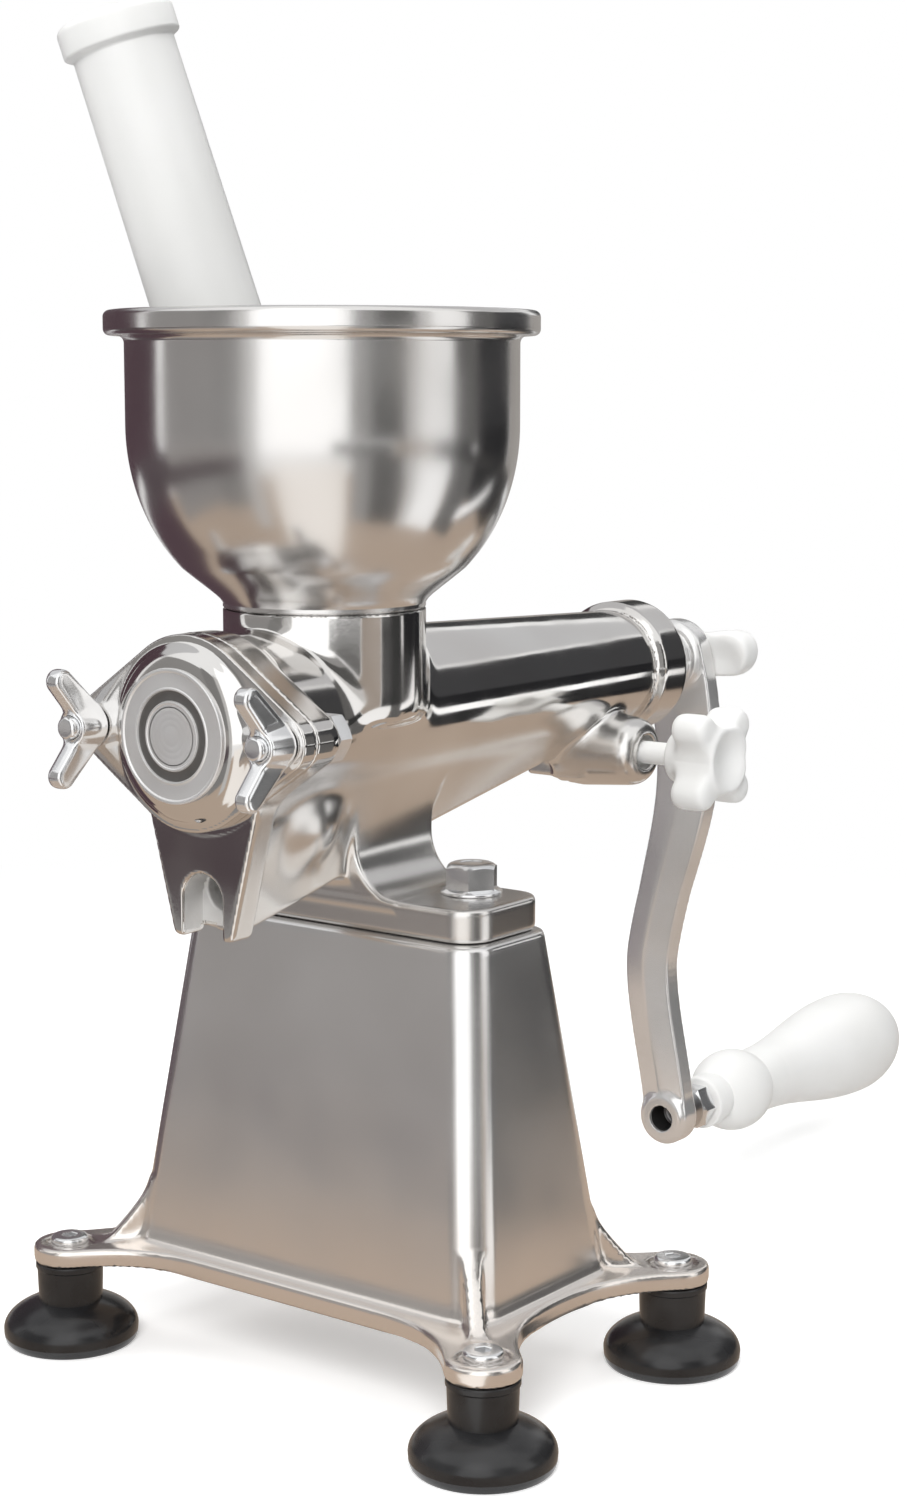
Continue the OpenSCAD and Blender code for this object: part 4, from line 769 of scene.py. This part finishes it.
def footRings(height):
    f = foot
    hollow = [((f["cupR"] - f["lipW"]) * math.cos(a), f["hollowH"] * math.sin(a))
              for a in np.linspace(0, math.pi / 2, 8)]
    hollow[-1] = (0, f["hollowH"])
    edge = [(f["cupR"] - 1.5, 0), (f["cupR"] - 0.7, 0.9), (f["cupR"] - 0.2, 2.4)]
    dome = [(f["cupR"] * math.cos(a), f["edgeZ"] + f["domeH"] * math.sin(a))
            for a in np.linspace(0, math.acos(f["waistR"] / f["cupR"]), 16)]
    waistZ = dome[-1][1]
    stem = roundedOutline([(f["waistR"], waistZ + 0.4), (f["stemR"], height - 2.6, 0.5),
                           (f["ringR"], height - 2.2, 0.4), (f["ringR"], height, 0.6), (0, height)])
    return hollow[::-1] + edge + dome + stem


for end in ("front", "rear"):
    for hand in ("left", "right"):
        turnedPiece(f"suctionFoot.{end}.{hand}", f"suction_foot_{end}_{hand}", (0, 0, 1), footRings,
                    "blackRubber")

# Foot screws: domed heads with a hexagon socket
screw = {"shankR": 4.0, "headR": 7.0, "headH": 4.0, "socketW": 5.0, "socketT": 2.2}


def screwRings(length):
    s = screw
    seat = length - s["headH"]
    flat = s["socketW"] / 2
    rings = roundedOutline([(0, 0), (s["shankR"], 0, 0.8), (s["shankR"], seat)])
    rings += roundedOutline([(s["shankR"], seat), (s["headR"], seat, 0.4), (s["headR"], length, 1.4),
                             (flat * 1.5, length)])[1:]
    return rings + [(flat + 0.3, length, 6), (flat, length - 0.3, 6), (flat, length - s["socketT"], 6),
                    (0, length - s["socketT"])]


boltPiece("footScrews", "foot_screws", (0, 0, 1), screwRings,
          [(x, y, 0) for x in (-footX, footX) for y in (-footY, footY)], 28)

# Flange bolts: hexagon heads on a pressed flange
bolt = {"shankR": 5.0, "flangeR": 11.0, "flangeT": 2.0, "hexW": 17.0, "hexH": 9.0, "chamfer": 0.55}


def boltRings(length):
    b = bolt
    seat = length - b["hexH"] - b["flangeT"]
    flat = b["hexW"] / 2
    rings = roundedOutline([(0, 0), (b["shankR"], 0, 1.0), (b["shankR"], seat)])
    rings += roundedOutline([(b["shankR"], seat), (b["flangeR"], seat, 0.5), (b["flangeR"], seat + 1.0, 0.5),
                             (flat + 1.0, length - b["hexH"])])[1:]
    rings += [(flat, length - b["hexH"] + 0.2, 6), (flat, length - 1.0, 6, b["chamfer"]),
              (flat - 0.5, length - 0.5), (flat - 1.4, length - 0.15)]
    return rings + [(flat - 3.0, length), (flat - 4.0, length), (flat - 4.5, length - 0.35),
                    (0, length - 0.35)]


boltPiece("flangeBolts", "flange_bolts", (0, 0, 1), boltRings,
          [(s * body["flangeBoltX"], body["flangeBoltY"], 0) for s in (-1, 1)], 24)

# Cap bolts: hexagon heads behind the front flange, rounded tips in front
capBolt = {"shankR": 4.0, "hexW": 15.0, "hexH": 7.0, "chamfer": 0.5}


def capBoltRings(length):
    b = capBolt
    flat = b["hexW"] / 2
    rings = [(0, 0.3), (flat - 2.6, 0.3), (flat - 2.2, 0), (flat - 0.8, 0), (flat - 0.3, 0.3)]
    rings += [(flat, 0.9, 6, -b["chamfer"]), (flat, b["hexH"], 6), (b["shankR"], b["hexH"])]
    return rings + roundedOutline([(b["shankR"], b["hexH"] + 1), (b["shankR"], length, 1.4), (0, length)])


boltPiece("capBolts", "cap_bolts", (0, -1, 0), capBoltRings,
          [(s * body["boltX"], 0, axisZ) for s in (-1, 1)], 24)

# Front cap: an oval cover with a turned, ringed face
cap = {"flangeT": 6.5, "shoulderR": 31.6, "shoulderT": 4.0, "midR": 28.0, "midT": 10.5, "faceR": 23.2,
       "faceBack": 1.2, "faceT": 5.0, "domeEdge": 3.5, "blend": 3.0, "boltHoleR": 4.3,
       "grooveR": 15.3, "grooveW": 3.8, "grooveT": 1.0, "rimW": 1.1, "bushR": 11.55, "bushL": 11.0,
       "gasketR": 31.4, "gasketW": 2.5, "gasketT": 2.0, "step": 0.85}
capLow, capHigh = nodeSpan("front_cap")


def capField(p):
    x, y, z = p.T
    c = cap
    q = np.hypot(x, z - axisZ)
    flange = overlap(1.4, ovalField(x, z), slab(y, jointY - c["flangeT"], jointY))
    face = capLow[1] + c["faceBack"]
    dome = turnedField(q, -y, [(c["shoulderR"], -jointY), (c["shoulderR"], c["shoulderT"] - jointY),
                               (c["midR"], c["midT"] - jointY), (c["faceR"], -face)], c["domeEdge"])
    solid = unite(c["blend"], flange, dome)
    bush = np.maximum(q - c["bushR"], jointY - c["bushL"] - y)
    halfW = c["gasketW"] / 2
    gasket = np.maximum(np.abs(q - c["gasketR"] + halfW) - halfW, jointY - c["gasketT"] - y)
    bolts = np.hypot(np.abs(x) - body["boltX"], z - axisZ) - c["boltHoleR"]
    return carve(overlap(0.5, solid, y - jointY), 0.4, bush, gasket, bolts)


def capFaceRings():
    c = cap
    depth = capHigh[1] - capLow[1]
    floor = depth - c["grooveT"]
    inner = c["grooveR"] - c["grooveW"]
    faceR, grooveR = c["faceR"], c["grooveR"]
    rings = [(0, depth - c["faceT"]), (faceR - 1, depth - c["faceT"])]
    rings += roundedOutline([(faceR - 1, depth - 4), (faceR - 0.6, depth, 0.5),
                             (faceR - 0.6 - c["rimW"], depth, 0.4), (faceR - 2.2, depth - 0.5, 0.3),
                             (grooveR + 0.9, depth - 0.5, 0.3), (grooveR + 0.5, depth - 0.2, 0.3),
                             (grooveR, depth - 0.2, 0.2), (grooveR - 0.3, floor, 0.2),
                             (inner + 0.3, floor, 0.2), (inner, depth - 0.2, 0.2),
                             (inner - 0.6, depth - 0.2, 0.2), (inner - 0.9, depth - 0.45, 0.2),
                             (inner - 2, depth - 0.45)], 3)
    for k in range(1, 5):
        ringR = inner - 2 * k
        rings += [(ringR + 0.3, depth - 0.45), (ringR, depth - 0.48), (ringR - 0.3, depth - 0.45)]
    return rings + [(0, depth - 0.45)]


fieldPiece("frontCap", "front_cap", capField, cap["step"], "polishedCasting")
facePlace = np.array((0, jointY, axisZ))
capFace = latheObject("frontCapFace", [latheArrays(capFaceRings(), facePlace, (0, -1, 0), 128)])
# Faces in the groove ring take the dark finish, painted shade in the groove
for look in ("turnedCasting", "paintedGrooveShade"):
    capFace.data.materials.append(finishes[look])
for face in capFace.data.polygons:
    fromAxis = math.hypot(face.center.x, face.center.z - axisZ * mm) / mm
    face.material_index = int(abs(fromAxis - cap["grooveR"] + cap["grooveW"] / 2) < cap["grooveW"] / 2 - 0.2)
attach(capFace, bodyOf["front_cap"])

# Wing nuts: a round hub with two flat wings that lean forward
wing = {"hubR": 7.0, "hubEndR": 5.8, "hubL": 11.0, "tipZ": 16.0, "tipY": 15.8, "tipR": 4.2, "rootR": 5.2,
        "rootY": 4.2, "rootZ": 4.0, "halfT": 3.2, "boreR": 4.05, "blend": 3.0, "step": 0.55}


def wingField(p):
    x, y, z = p.T
    w = wing
    depth = -y
    q = np.hypot(x, z)
    hub = turnedField(q, depth, [(w["hubR"], 0), (w["hubR"], 2.2), (w["hubEndR"], w["hubL"])], 1.2)
    side = np.stack((0 * x, depth, np.abs(z)), axis=1)
    blade = capsule(side, (0, w["rootY"], w["rootZ"]), (0, w["tipY"], w["tipZ"]), w["rootR"], w["tipR"])
    blade = overlap(3.4, overlap(0.3, blade, -depth), np.abs(x) - w["halfT"])
    return carve(unite(w["blend"], hub, blade), 0.4, q - w["boreR"])


for sideX, hand in ((-1, "left"), (1, "right")):
    node = "wing_nut_" + hand
    place = np.array((sideX * body["boltX"], nodeSpan(node)[1][1], axisZ))
    fieldPiece("wingNut." + hand, node, lambda p: wingField(p - place), wing["step"], "brightZinc", margin=1)

# Crank arm: an S-shaped bar with a ridged front, a hub and an eye for the pin
arm = {"w": 21.0, "hubR": 16.0, "endR": 11.5, "bossR": 12.0, "swing": (18.0, 54.5),
       "turn": (-2.0, 80.0), "bend": 9.5, "bendAt": 0.64, "lowTurn": 0.1, "ridge": 2.6, "crestR": 1.2,
       "shoulder": 5.0, "shoulderL": 100.0, "edge": 1.8, "frontY": 200.0, "holeR": 5.55, "shaftR": 8.05,
       "square": 5.55, "blend": 2.5, "bossBlend": 2.0, "step": 1.0}
armLow, armHigh = nodeSpan("crank_arm")
handleZ = nodeMiddle("handle_grip")[2]


def cubic(a, b, c, d, count):
    t = np.linspace(0, 1, count)[:, None]
    s = 1 - t
    a, b, c, d = np.array((a, b, c, d), float)
    return s ** 3 * a + 3 * s * s * t * b + 3 * s * t * t * c + t ** 3 * d


def armPath():
    reach = axisZ - handleZ
    bend = np.array((-arm["bend"], axisZ - reach * arm["bendAt"]))
    upper = cubic((0, axisZ), (arm["swing"][0], axisZ - arm["swing"][1]),
                  (arm["turn"][0], axisZ - arm["turn"][1]), bend, 26)
    lowTurn = reach * arm["lowTurn"]
    lower = cubic(bend, bend - (2.5, lowTurn), (-1, handleZ + lowTurn), (0, handleZ), 20)
    return np.concatenate((upper, lower[1:]))


armLine = armPath()


# A round end with a chamfer from face to side, both given from the arm's front
def armDisc(fromAxis, y, radius, chamfer, face, side):
    front, rear = arm["frontY"], armHigh[1]
    return turnedField(fromAxis, y, [(radius - chamfer, front + face), (radius, front + side),
                                     (radius, rear - 1), (radius - 1, rear)], 1.2)


def armField(p):
    x, y, z = p.T
    a = arm
    best = np.full(len(p), 1e9)
    for (ax, az), (bx, bz) in zip(armLine, armLine[1:]):
        ex, ez = bx - ax, bz - az
        t = np.clip(((x - ax) * ex + (z - az) * ez) / (ex * ex + ez * ez), 0, 1)
        best = np.minimum(best, np.hypot(x - ax - t * ex, z - az - t * ez))
    rear = armHigh[1]
    half = a["w"] / 2 + a["shoulder"] * np.clip(1 - (axisZ - z) / a["shoulderL"], 0, 1)
    front = a["frontY"] + a["ridge"] * (np.hypot(best, a["crestR"]) - a["crestR"]) / half
    bar = overlap(a["edge"], best - half, front - y, y - rear)
    q = np.hypot(x, z - axisZ)
    hub = armDisc(q, y, a["hubR"], 2.4, -0.4, 1.8)
    boss = overlap(1, q - a["bossR"], slab(y, armLow[1], a["frontY"] + 2))
    eyeR = np.hypot(x, z - handleZ)
    eye = armDisc(eyeR, y, a["endR"], 2.2, -0.6, 1.4)
    solid = unite(a["bossBlend"], unite(a["blend"], bar, hub, eye), boss)
    square = np.maximum(np.maximum(np.abs(x), np.abs(z - axisZ)) - a["square"], -1)
    shaft = np.maximum(q - a["shaftR"], y - a["frontY"] + 1)
    return carve(solid, 0.5, eyeR - a["holeR"], square, shaft)


armPiece = fieldPiece("crankArm", "crank_arm", armField, arm["step"], "satinArm", "deepShade")
# Faces inside the pin's eye take deepShade, a near-black finish that paints the shadow in the hole
for face in armPiece.data.polygons:
    fromEye = math.hypot(face.center.x, face.center.z - handleZ * mm) / mm
    face.material_index = int(fromEye < arm["holeR"] + 0.3 and face.center.y > (arm["frontY"] + 1.0) * mm)

# Crank knob: a hub with two scooped wings
knob = {"hubR": 10.0, "reach": 21.0, "rise": 2.0, "tipR": 9.6, "scoopR": 15.0, "scoop": 3.6, "boreR": 4.05,
        "boreL": 13.0, "blend": 5.0, "step": 0.8}
knobLow, knobHigh = nodeSpan("crank_knob")


def knobField(p):
    x, y, z = p.T
    k = knob
    up = z - axisZ
    length = knobHigh[1] - knobLow[1]
    depth = y - knobLow[1]
    q = np.hypot(x, up)
    hub = turnedField(q, depth, [(k["hubR"], 0), (k["hubR"] - 0.8, length)], 3)
    along = np.abs(x)
    lean = k["rise"] / k["reach"]
    across = (up - along * lean) / math.hypot(1, lean)
    outline = taperedSlot(along, across, k["hubR"] - 1, k["tipR"], k["reach"])
    blade = overlap(5, outline, slab(depth, 1.2, length - 1.5))
    scoop = np.stack((along - k["reach"] + 2, depth + k["scoopR"] - k["scoop"] - 1.2, across + 5), axis=1)
    blade = carve(blade, 4, np.linalg.norm(scoop, axis=1) - k["scoopR"])
    bore = np.maximum(q - k["boreR"], depth - k["boreL"])
    return carve(unite(k["blend"], hub, blade), 0.5, bore)


fieldPiece("crankKnob", "crank_knob", knobField, knob["step"], "whiteNylon")

# Handle: pin with collar, nut and a pear-shaped grip
handle = {"pinR": 5.5, "pinFront": 9.5, "collarR": 9.0, "collarL": 9.0, "nutW": 17.0, "chamfer": 0.55,
          "discR": 11.5, "discL": 8.0, "bulbR": 18.0, "bulbArc": (-53, 46), "stretch": 1.1, "waistR": 14.6,
          "gripR": 23.6, "endL": 36.5}


def pinRings(length):
    h = handle
    collarY = nodeSpan("handle_nut")[0][1] - h["collarL"] - nodeSpan("handle_pin")[0][1]
    return roundedOutline([(0, h["pinFront"]), (h["pinR"], h["pinFront"], 0.4), (h["pinR"], collarY),
                           (h["collarR"], collarY, 0.8), (h["collarR"], collarY + h["collarL"], 0.8),
                           (h["pinR"], collarY + h["collarL"]), (h["pinR"], length, 0.6), (0, length)])


def nutRings(length):
    flat = handle["nutW"] / 2
    bore = handle["pinR"] + 0.05
    return [(bore, 0), (flat - 0.6, 0), (flat, 0.9, 6, -handle["chamfer"]),
            (flat, length - 0.9, 6, handle["chamfer"]), (flat - 0.6, length), (bore, length), (bore, 0)]


def gripRings(length):
    h = handle
    bulbY = h["discL"] + h["bulbR"] * h["stretch"]
    waistY = bulbY + h["bulbR"] * h["stretch"]
    widestY = length - h["endL"]
    rings = roundedOutline([(0, 0), (h["discR"], 0, 1.2), (h["discR"], h["discL"], 1.0),
                            (h["discR"] - 0.5, h["discL"] + 2)])
    for a in np.linspace(*np.radians(h["bulbArc"]), 18):
        rings.append((h["bulbR"] * math.cos(a), bulbY + h["bulbR"] * math.sin(a) * h["stretch"]))
    for t in np.linspace(0.05, 1, 22):
        rings.append((h["waistR"] + (h["gripR"] - h["waistR"]) * (1 - math.cos(math.pi * t)) / 2,
                      waistY + (widestY - waistY) * t))
    for a in np.linspace(0.05, 1, 22) * math.pi / 2:
        rings.append((h["gripR"] * math.cos(a), widestY + h["endL"] * math.sin(a)))
    rings[-1] = (0, length)
    return rings


turnedPiece("handlePin", "handle_pin", (0, 1, 0), pinRings, "machinedSteel", 24)
turnedPiece("handleNut", "handle_nut", (0, 1, 0), nutRings, "brightZinc", 24)
turnedPiece("handleGrip", "handle_grip", (0, 1, 0), gripRings, "whiteNylon", 24)

# Choke screw: a plain rod and a knob with four lobes round a dished face
choke = {"rodR": 4.4, "neckR": 10.0, "hubR": 12.5, "neckL": 8.6, "lobeReach": 17.2, "lobeR": 6.3,
         "dishR": 17.0, "dish": 3.4, "socketR": 4.45, "socketL": 15.0, "blend": 6.0, "step": 0.85}
chokeLow, chokeHigh = nodeSpan("choke_knob")


def rodRings(length):
    rodR = choke["rodR"]
    return roundedOutline([(0, 0), (rodR, 0, 1.5), (rodR, length, 0.5), (0, length)])


def chokeKnobField(p):
    c = choke
    out = p[:, 0] - chokeLow[0]
    y, z = p[:, 1] - body["chokeY"], p[:, 2] - body["chokeZ"]
    length = chokeHigh[0] - chokeLow[0]
    q = np.hypot(y, z)
    neck = turnedField(q, out, [(c["neckR"], 0), (c["hubR"], c["neckL"]), (c["hubR"], length)], 3)
    u, v = np.abs(y + z) / math.sqrt(2), np.abs(y - z) / math.sqrt(2)
    long, short = np.maximum(u, v), np.minimum(u, v)
    lobe = overlap(7, taperedSlot(long, short, c["lobeR"] + 1.5, c["lobeR"], c["lobeReach"]),
                   slab(out, c["neckL"] - 1, length - 0.8))
    solid = unite(c["blend"], neck, lobe)
    dish = np.hypot(q, out - length - c["dishR"] + c["dish"]) - c["dishR"]
    socket = np.maximum(q - c["socketR"], out - c["socketL"])
    return carve(carve(solid, 3, dish), 0.4, socket)


turnedPiece("chokeRod", "choke_rod", (1, 0, 0), rodRings, "whiteNylon")
fieldPiece("chokeKnob", "choke_knob", chokeKnobField, choke["step"], "whiteNylon")

# Plunger: a tapering rod with a broad rounded head
plunger = {"footR": 19.2, "topR": 17.7, "lipR": 20.4, "lipH": 12.0, "round": 3.0}
plungerAxis = next(j["axis"] for j in frame["joints"] if j["name"] == "plunger_slide")


def plungerRings(length):
    g = plunger
    lipZ = length - g["lipH"]
    return roundedOutline([(0, 0), (g["footR"], 0, 1.5), (g["topR"], lipZ, 1.2), (g["lipR"], lipZ + 1.5, 1.2),
                           (g["lipR"], length, g["round"]), (0, length)])


turnedPiece("plungerRod", "plunger", plungerAxis, plungerRings, "whiteNylon")

# Floor, world and lamps
studio = {"floorSize": 8.0, "floorShade": 0.8, "floorGlow": 0.4, "worldFill": 0.37,
          "fadeFrom": 0.45, "fadeTo": 1.0, "lampAim": (0, 0, 0.25)}


# 1 for the rays that show the white background
def backgroundRays(tree):
    rays = tree.nodes.new("ShaderNodeLightPath").outputs
    seen = mathNode(tree, "MAXIMUM", rays["Is Camera Ray"], rays["Is Glossy Ray"])
    return mathNode(tree, "MAXIMUM", seen, rays["Is Transmission Ray"])


def makeWorld():
    world = bpy.data.worlds.new("studioWorld")
    scene.world = world
    world.use_nodes = True
    tree = world.node_tree
    tree.nodes.clear()
    fill = addNode(tree, "ShaderNodeBackground", Color=(1, 1, 1, 1), Strength=studio["worldFill"])
    white = addNode(tree, "ShaderNodeBackground", Color=(1, 1, 1, 1), Strength=1.0)
    mix = addNode(tree, "ShaderNodeMixShader", i0=backgroundRays(tree),
                  i1=fill.outputs[0], i2=white.outputs[0])
    addNode(tree, "ShaderNodeOutputWorld", Surface=mix.outputs[0])


def stageObject(name, points, faces, finish):
    mesh = bpy.data.meshes.new(name)
    mesh.from_pydata(points, [], faces)
    mesh.materials.append(finish)
    made = bpy.data.objects.new(name, mesh)
    scene.collection.objects.link(made)
    return made


def bareFinish(name):
    finish = bpy.data.materials.new(name)
    finish.use_nodes = True
    finish.node_tree.nodes.clear()
    return finish, finish.node_tree


# Pale paint round the object that fades into the white background
def makeFloor():
    finish, tree = bareFinish("paleFloor")
    shade = studio["floorShade"]
    paint = addNode(tree, "ShaderNodeBsdfDiffuse", Color=(shade, shade, shade, 1))
    shown = backgroundRays(tree)
    strength = mathNode(tree, "MULTIPLY", shown, studio["floorGlow"])
    glow = addNode(tree, "ShaderNodeEmission", Color=(1, 1, 1, 1), Strength=strength)
    near = addNode(tree, "ShaderNodeAddShader", i0=paint.outputs[0], i1=glow.outputs[0])
    white = addNode(tree, "ShaderNodeMapRange", Value=shown, To_Min=studio["worldFill"])
    far = addNode(tree, "ShaderNodeEmission", Color=(1, 1, 1, 1), Strength=white.outputs["Result"])
    place = tree.nodes.new("ShaderNodeTexCoord").outputs["Object"]
    reach = addNode(tree, "ShaderNodeVectorMath", {"operation": "LENGTH"}, i0=place)
    fade = addNode(tree, "ShaderNodeMapRange", {"interpolation_type": "SMOOTHSTEP"},
                   Value=reach.outputs["Value"], From_Min=studio["fadeFrom"], From_Max=studio["fadeTo"])
    mix = addNode(tree, "ShaderNodeMixShader", i0=fade.outputs["Result"],
                  i1=near.outputs[0], i2=far.outputs[0])
    addNode(tree, "ShaderNodeOutputMaterial", Surface=mix.outputs[0])
    half = studio["floorSize"] / 2
    corners = [(-half, -half, 0), (half, -half, 0), (half, half, 0), (-half, half, 0)]
    stageObject("studioFloor", corners, [(0, 1, 2, 3)], finish)


def makeLamp(name, place, size, watts):
    data = bpy.data.lights.new(name, "AREA")
    data.shape, data.size, data.energy = "DISK", size, watts
    lamp = bpy.data.objects.new(name, data)
    lamp.location = place
    lamp.rotation_euler = (Vector(studio["lampAim"]) - Vector(place)).to_track_quat("-Z", "Y").to_euler()
    lamp.visible_glossy = False
    scene.collection.objects.link(lamp)


# Camera fitted to the photograph's view
view = {"azimuth": 37.17, "pitch": 8.14, "lens": 62.35, "sensor": 36, "place": (0.5825, -0.7158, 0.3560)}

# Places of the reflected cards
cardSpace = {"eyeZ": 0.26, "reach": 1.5, "frontStep": 0.06, "roof": 1.1, "wallFoot": -10.2, "columns": 25}
cardHeight = {"low": 0.003, "floor": 0.0045, "table": 0.006}


# A card that shows only in reflections
def glowCard(name, points, faces, shade):
    finish, tree = bareFinish(name)
    glow = addNode(tree, "ShaderNodeEmission", Color=(*shade, 1), Strength=1.0)
    addNode(tree, "ShaderNodeOutputMaterial", Surface=glow.outputs[0])
    card = stageObject(name, points, faces, finish)
    for ray in ("visible_camera", "visible_diffuse", "visible_shadow", "visible_transmission"):
        setattr(card, ray, False)


# Cards round the object, by angle from the camera's side and rise above the object's middle
def makeCard(name, turn, rise, shade, kind="wall"):
    space, count = cardSpace, cardSpace["columns"]
    angles = np.radians(view["azimuth"] - 90 + np.linspace(turn[0], turn[1], count))
    reach = space["reach"] - (space["frontStep"] if kind == "front" else 0)
    rows = []
    for angle in rise:
        tangent = math.tan(math.radians(angle))
        if kind in cardHeight:
            rows.append((-space["eyeZ"] / tangent, cardHeight[kind]))
        elif kind == "roof":
            rows.append((space["roof"] / tangent, space["eyeZ"] + space["roof"]))
        else:
            rows.append((reach, space["eyeZ"] + reach * tangent))
    points = [(r * math.cos(a), r * math.sin(a), z) for r, z in rows for a in angles]
    faces = [(k, k + 1, k + 1 + count, k + count) for k in range(count - 1)]
    glowCard(name, points, faces, shade)


makeWorld()
makeFloor()
lamps = (("keyLamp", (1.0, -1.7, 1.7), 1.2, 42.0), ("leftLamp", (-1.9, -0.9, 1.5), 1.3, 20.0),
         ("rearLamp", (0.3, 2.2, 1.9), 1.5, 18.0), ("topLamp", (0.0, 0.0, 2.6), 1.6, 18.0))
for lamp in lamps:
    makeLamp(*lamp)
walls = (
    ("leftDark", (-168, -105), (-6.5, 32), (0.09, 0.058, 0.07), -36),
    ("leftShade", (-98, -60), (-4, 6), (0.3, 0.29, 0.285), -26),
    ("leftGrey", (-60, -43), (-4, 34), (0.24, 0.235, 0.23), -28),
    ("leftPale", (-43, -34), (-10, 38), (0.58, 0.57, 0.56), -38),
    ("rightPale", (17, 29), (-3, 34), (0.34, 0.335, 0.33), -38),
    ("rightShade", (29, 50), (-3, 32), (0.11, 0.108, 0.106), -38),
    ("windowEdge", (51, 58), (-3, 34), (0.7, 0.69, 0.68), -38),
    ("windowWhite", (58, 80), (-3, 34), (1.15, 1.15, 1.15), -37),
    ("rightGrey", (81, 101), (-4, 30), (0.14, 0.137, 0.135), -35),
    ("rightDark", (101, 138), (-6.2, 3), (0.02, 0.02, 0.022), -21))
cards = (
    ("frontWhite", (-34, 15), (-14, 65), (1.4, 1.4, 1.4)),
    ("leftShadeHigh", (-98, -60), (6, 30), (0.3, 0.293, 0.287)),
    ("rightDim", (101, 138), (3, 25), (0.06, 0.06, 0.063)),
    ("rearWarm", (139, 192), (-6.5, 9), (0.38, 0.36, 0.34)),
    ("rearDark", (152, 196), (9, 22), (0.06, 0.06, 0.06)),
    ("leftSkirt", (-135, -98), (-10, -5), (0.1, 0.078, 0.086), "front"),
    ("paleSkirt", (-98, -43), (-10, -4), (0.36, 0.34, 0.328), "front"),
    ("leftMat", (-135, -43), (-9.6, -16), (0.09, 0.07, 0.077), "table"),
    ("frontSkirt", (7, 42), (-10, -4.5), (0.15, 0.147, 0.144), "front"),
    ("tanSkirt", (43, 67), (-10, -3.2), (0.42, 0.36, 0.31), "front"),
    ("darkSkirt", (68, 97), (-10, -3), (0.04, 0.04, 0.04), "front"),
    ("rearSkirt", (97, 150), (-10, -6), (0.05, 0.048, 0.047), "front"),
    ("rearFloor", (138, 192), (-9.5, -17.5), (0.06, 0.057, 0.055), "floor"),
    ("tanRing", (0, 360), (-17, -84), (0.5, 0.4, 0.32), "low"),
    ("frontTable", (-26, 14), (-14, -62), (1.05, 1.0, 0.95), "table"),
    ("rearRoof", (100, 260), (27, 75), (0.62, 0.62, 0.63), "roof"))
for name, turn, rise, shade, end in walls:
    makeCard(name, turn, rise, shade)
    makeCard(name + "Floor", turn, (cardSpace["wallFoot"], end), shade, "floor")
for card in cards:
    makeCard(*card)
nearCards = (
    ("barrelStrip", 0.175, (0.12, 0.42), (0.184, 0.213), (1.3, 1.3, 1.3)),
    ("sideDark", 0.3, (0.4, 0.95), (0.01, 0.2), (0.03, 0.03, 0.031)))
for name, x, across, upward, shade in nearCards:
    corners = [(x, y, z) for z in upward for y in across]
    glowCard(name, corners, [(0, 1, 3, 2)], shade)

cameraData = bpy.data.cameras.new("photoCamera")
cameraData.lens = view["lens"]
cameraData.sensor_width = view["sensor"]
camera = bpy.data.objects.new("photoCamera", cameraData)
a, e = math.radians(view["azimuth"]), math.radians(view["pitch"])
back = Vector((math.sin(a) * math.cos(e), -math.cos(a) * math.cos(e), math.sin(e)))
camera.location = view["place"]
camera.rotation_mode = "QUATERNION"
camera.rotation_quaternion = (-back).to_track_quat("-Z", "Y")
scene.collection.objects.link(camera)
scene.camera = camera
print("studio ready")
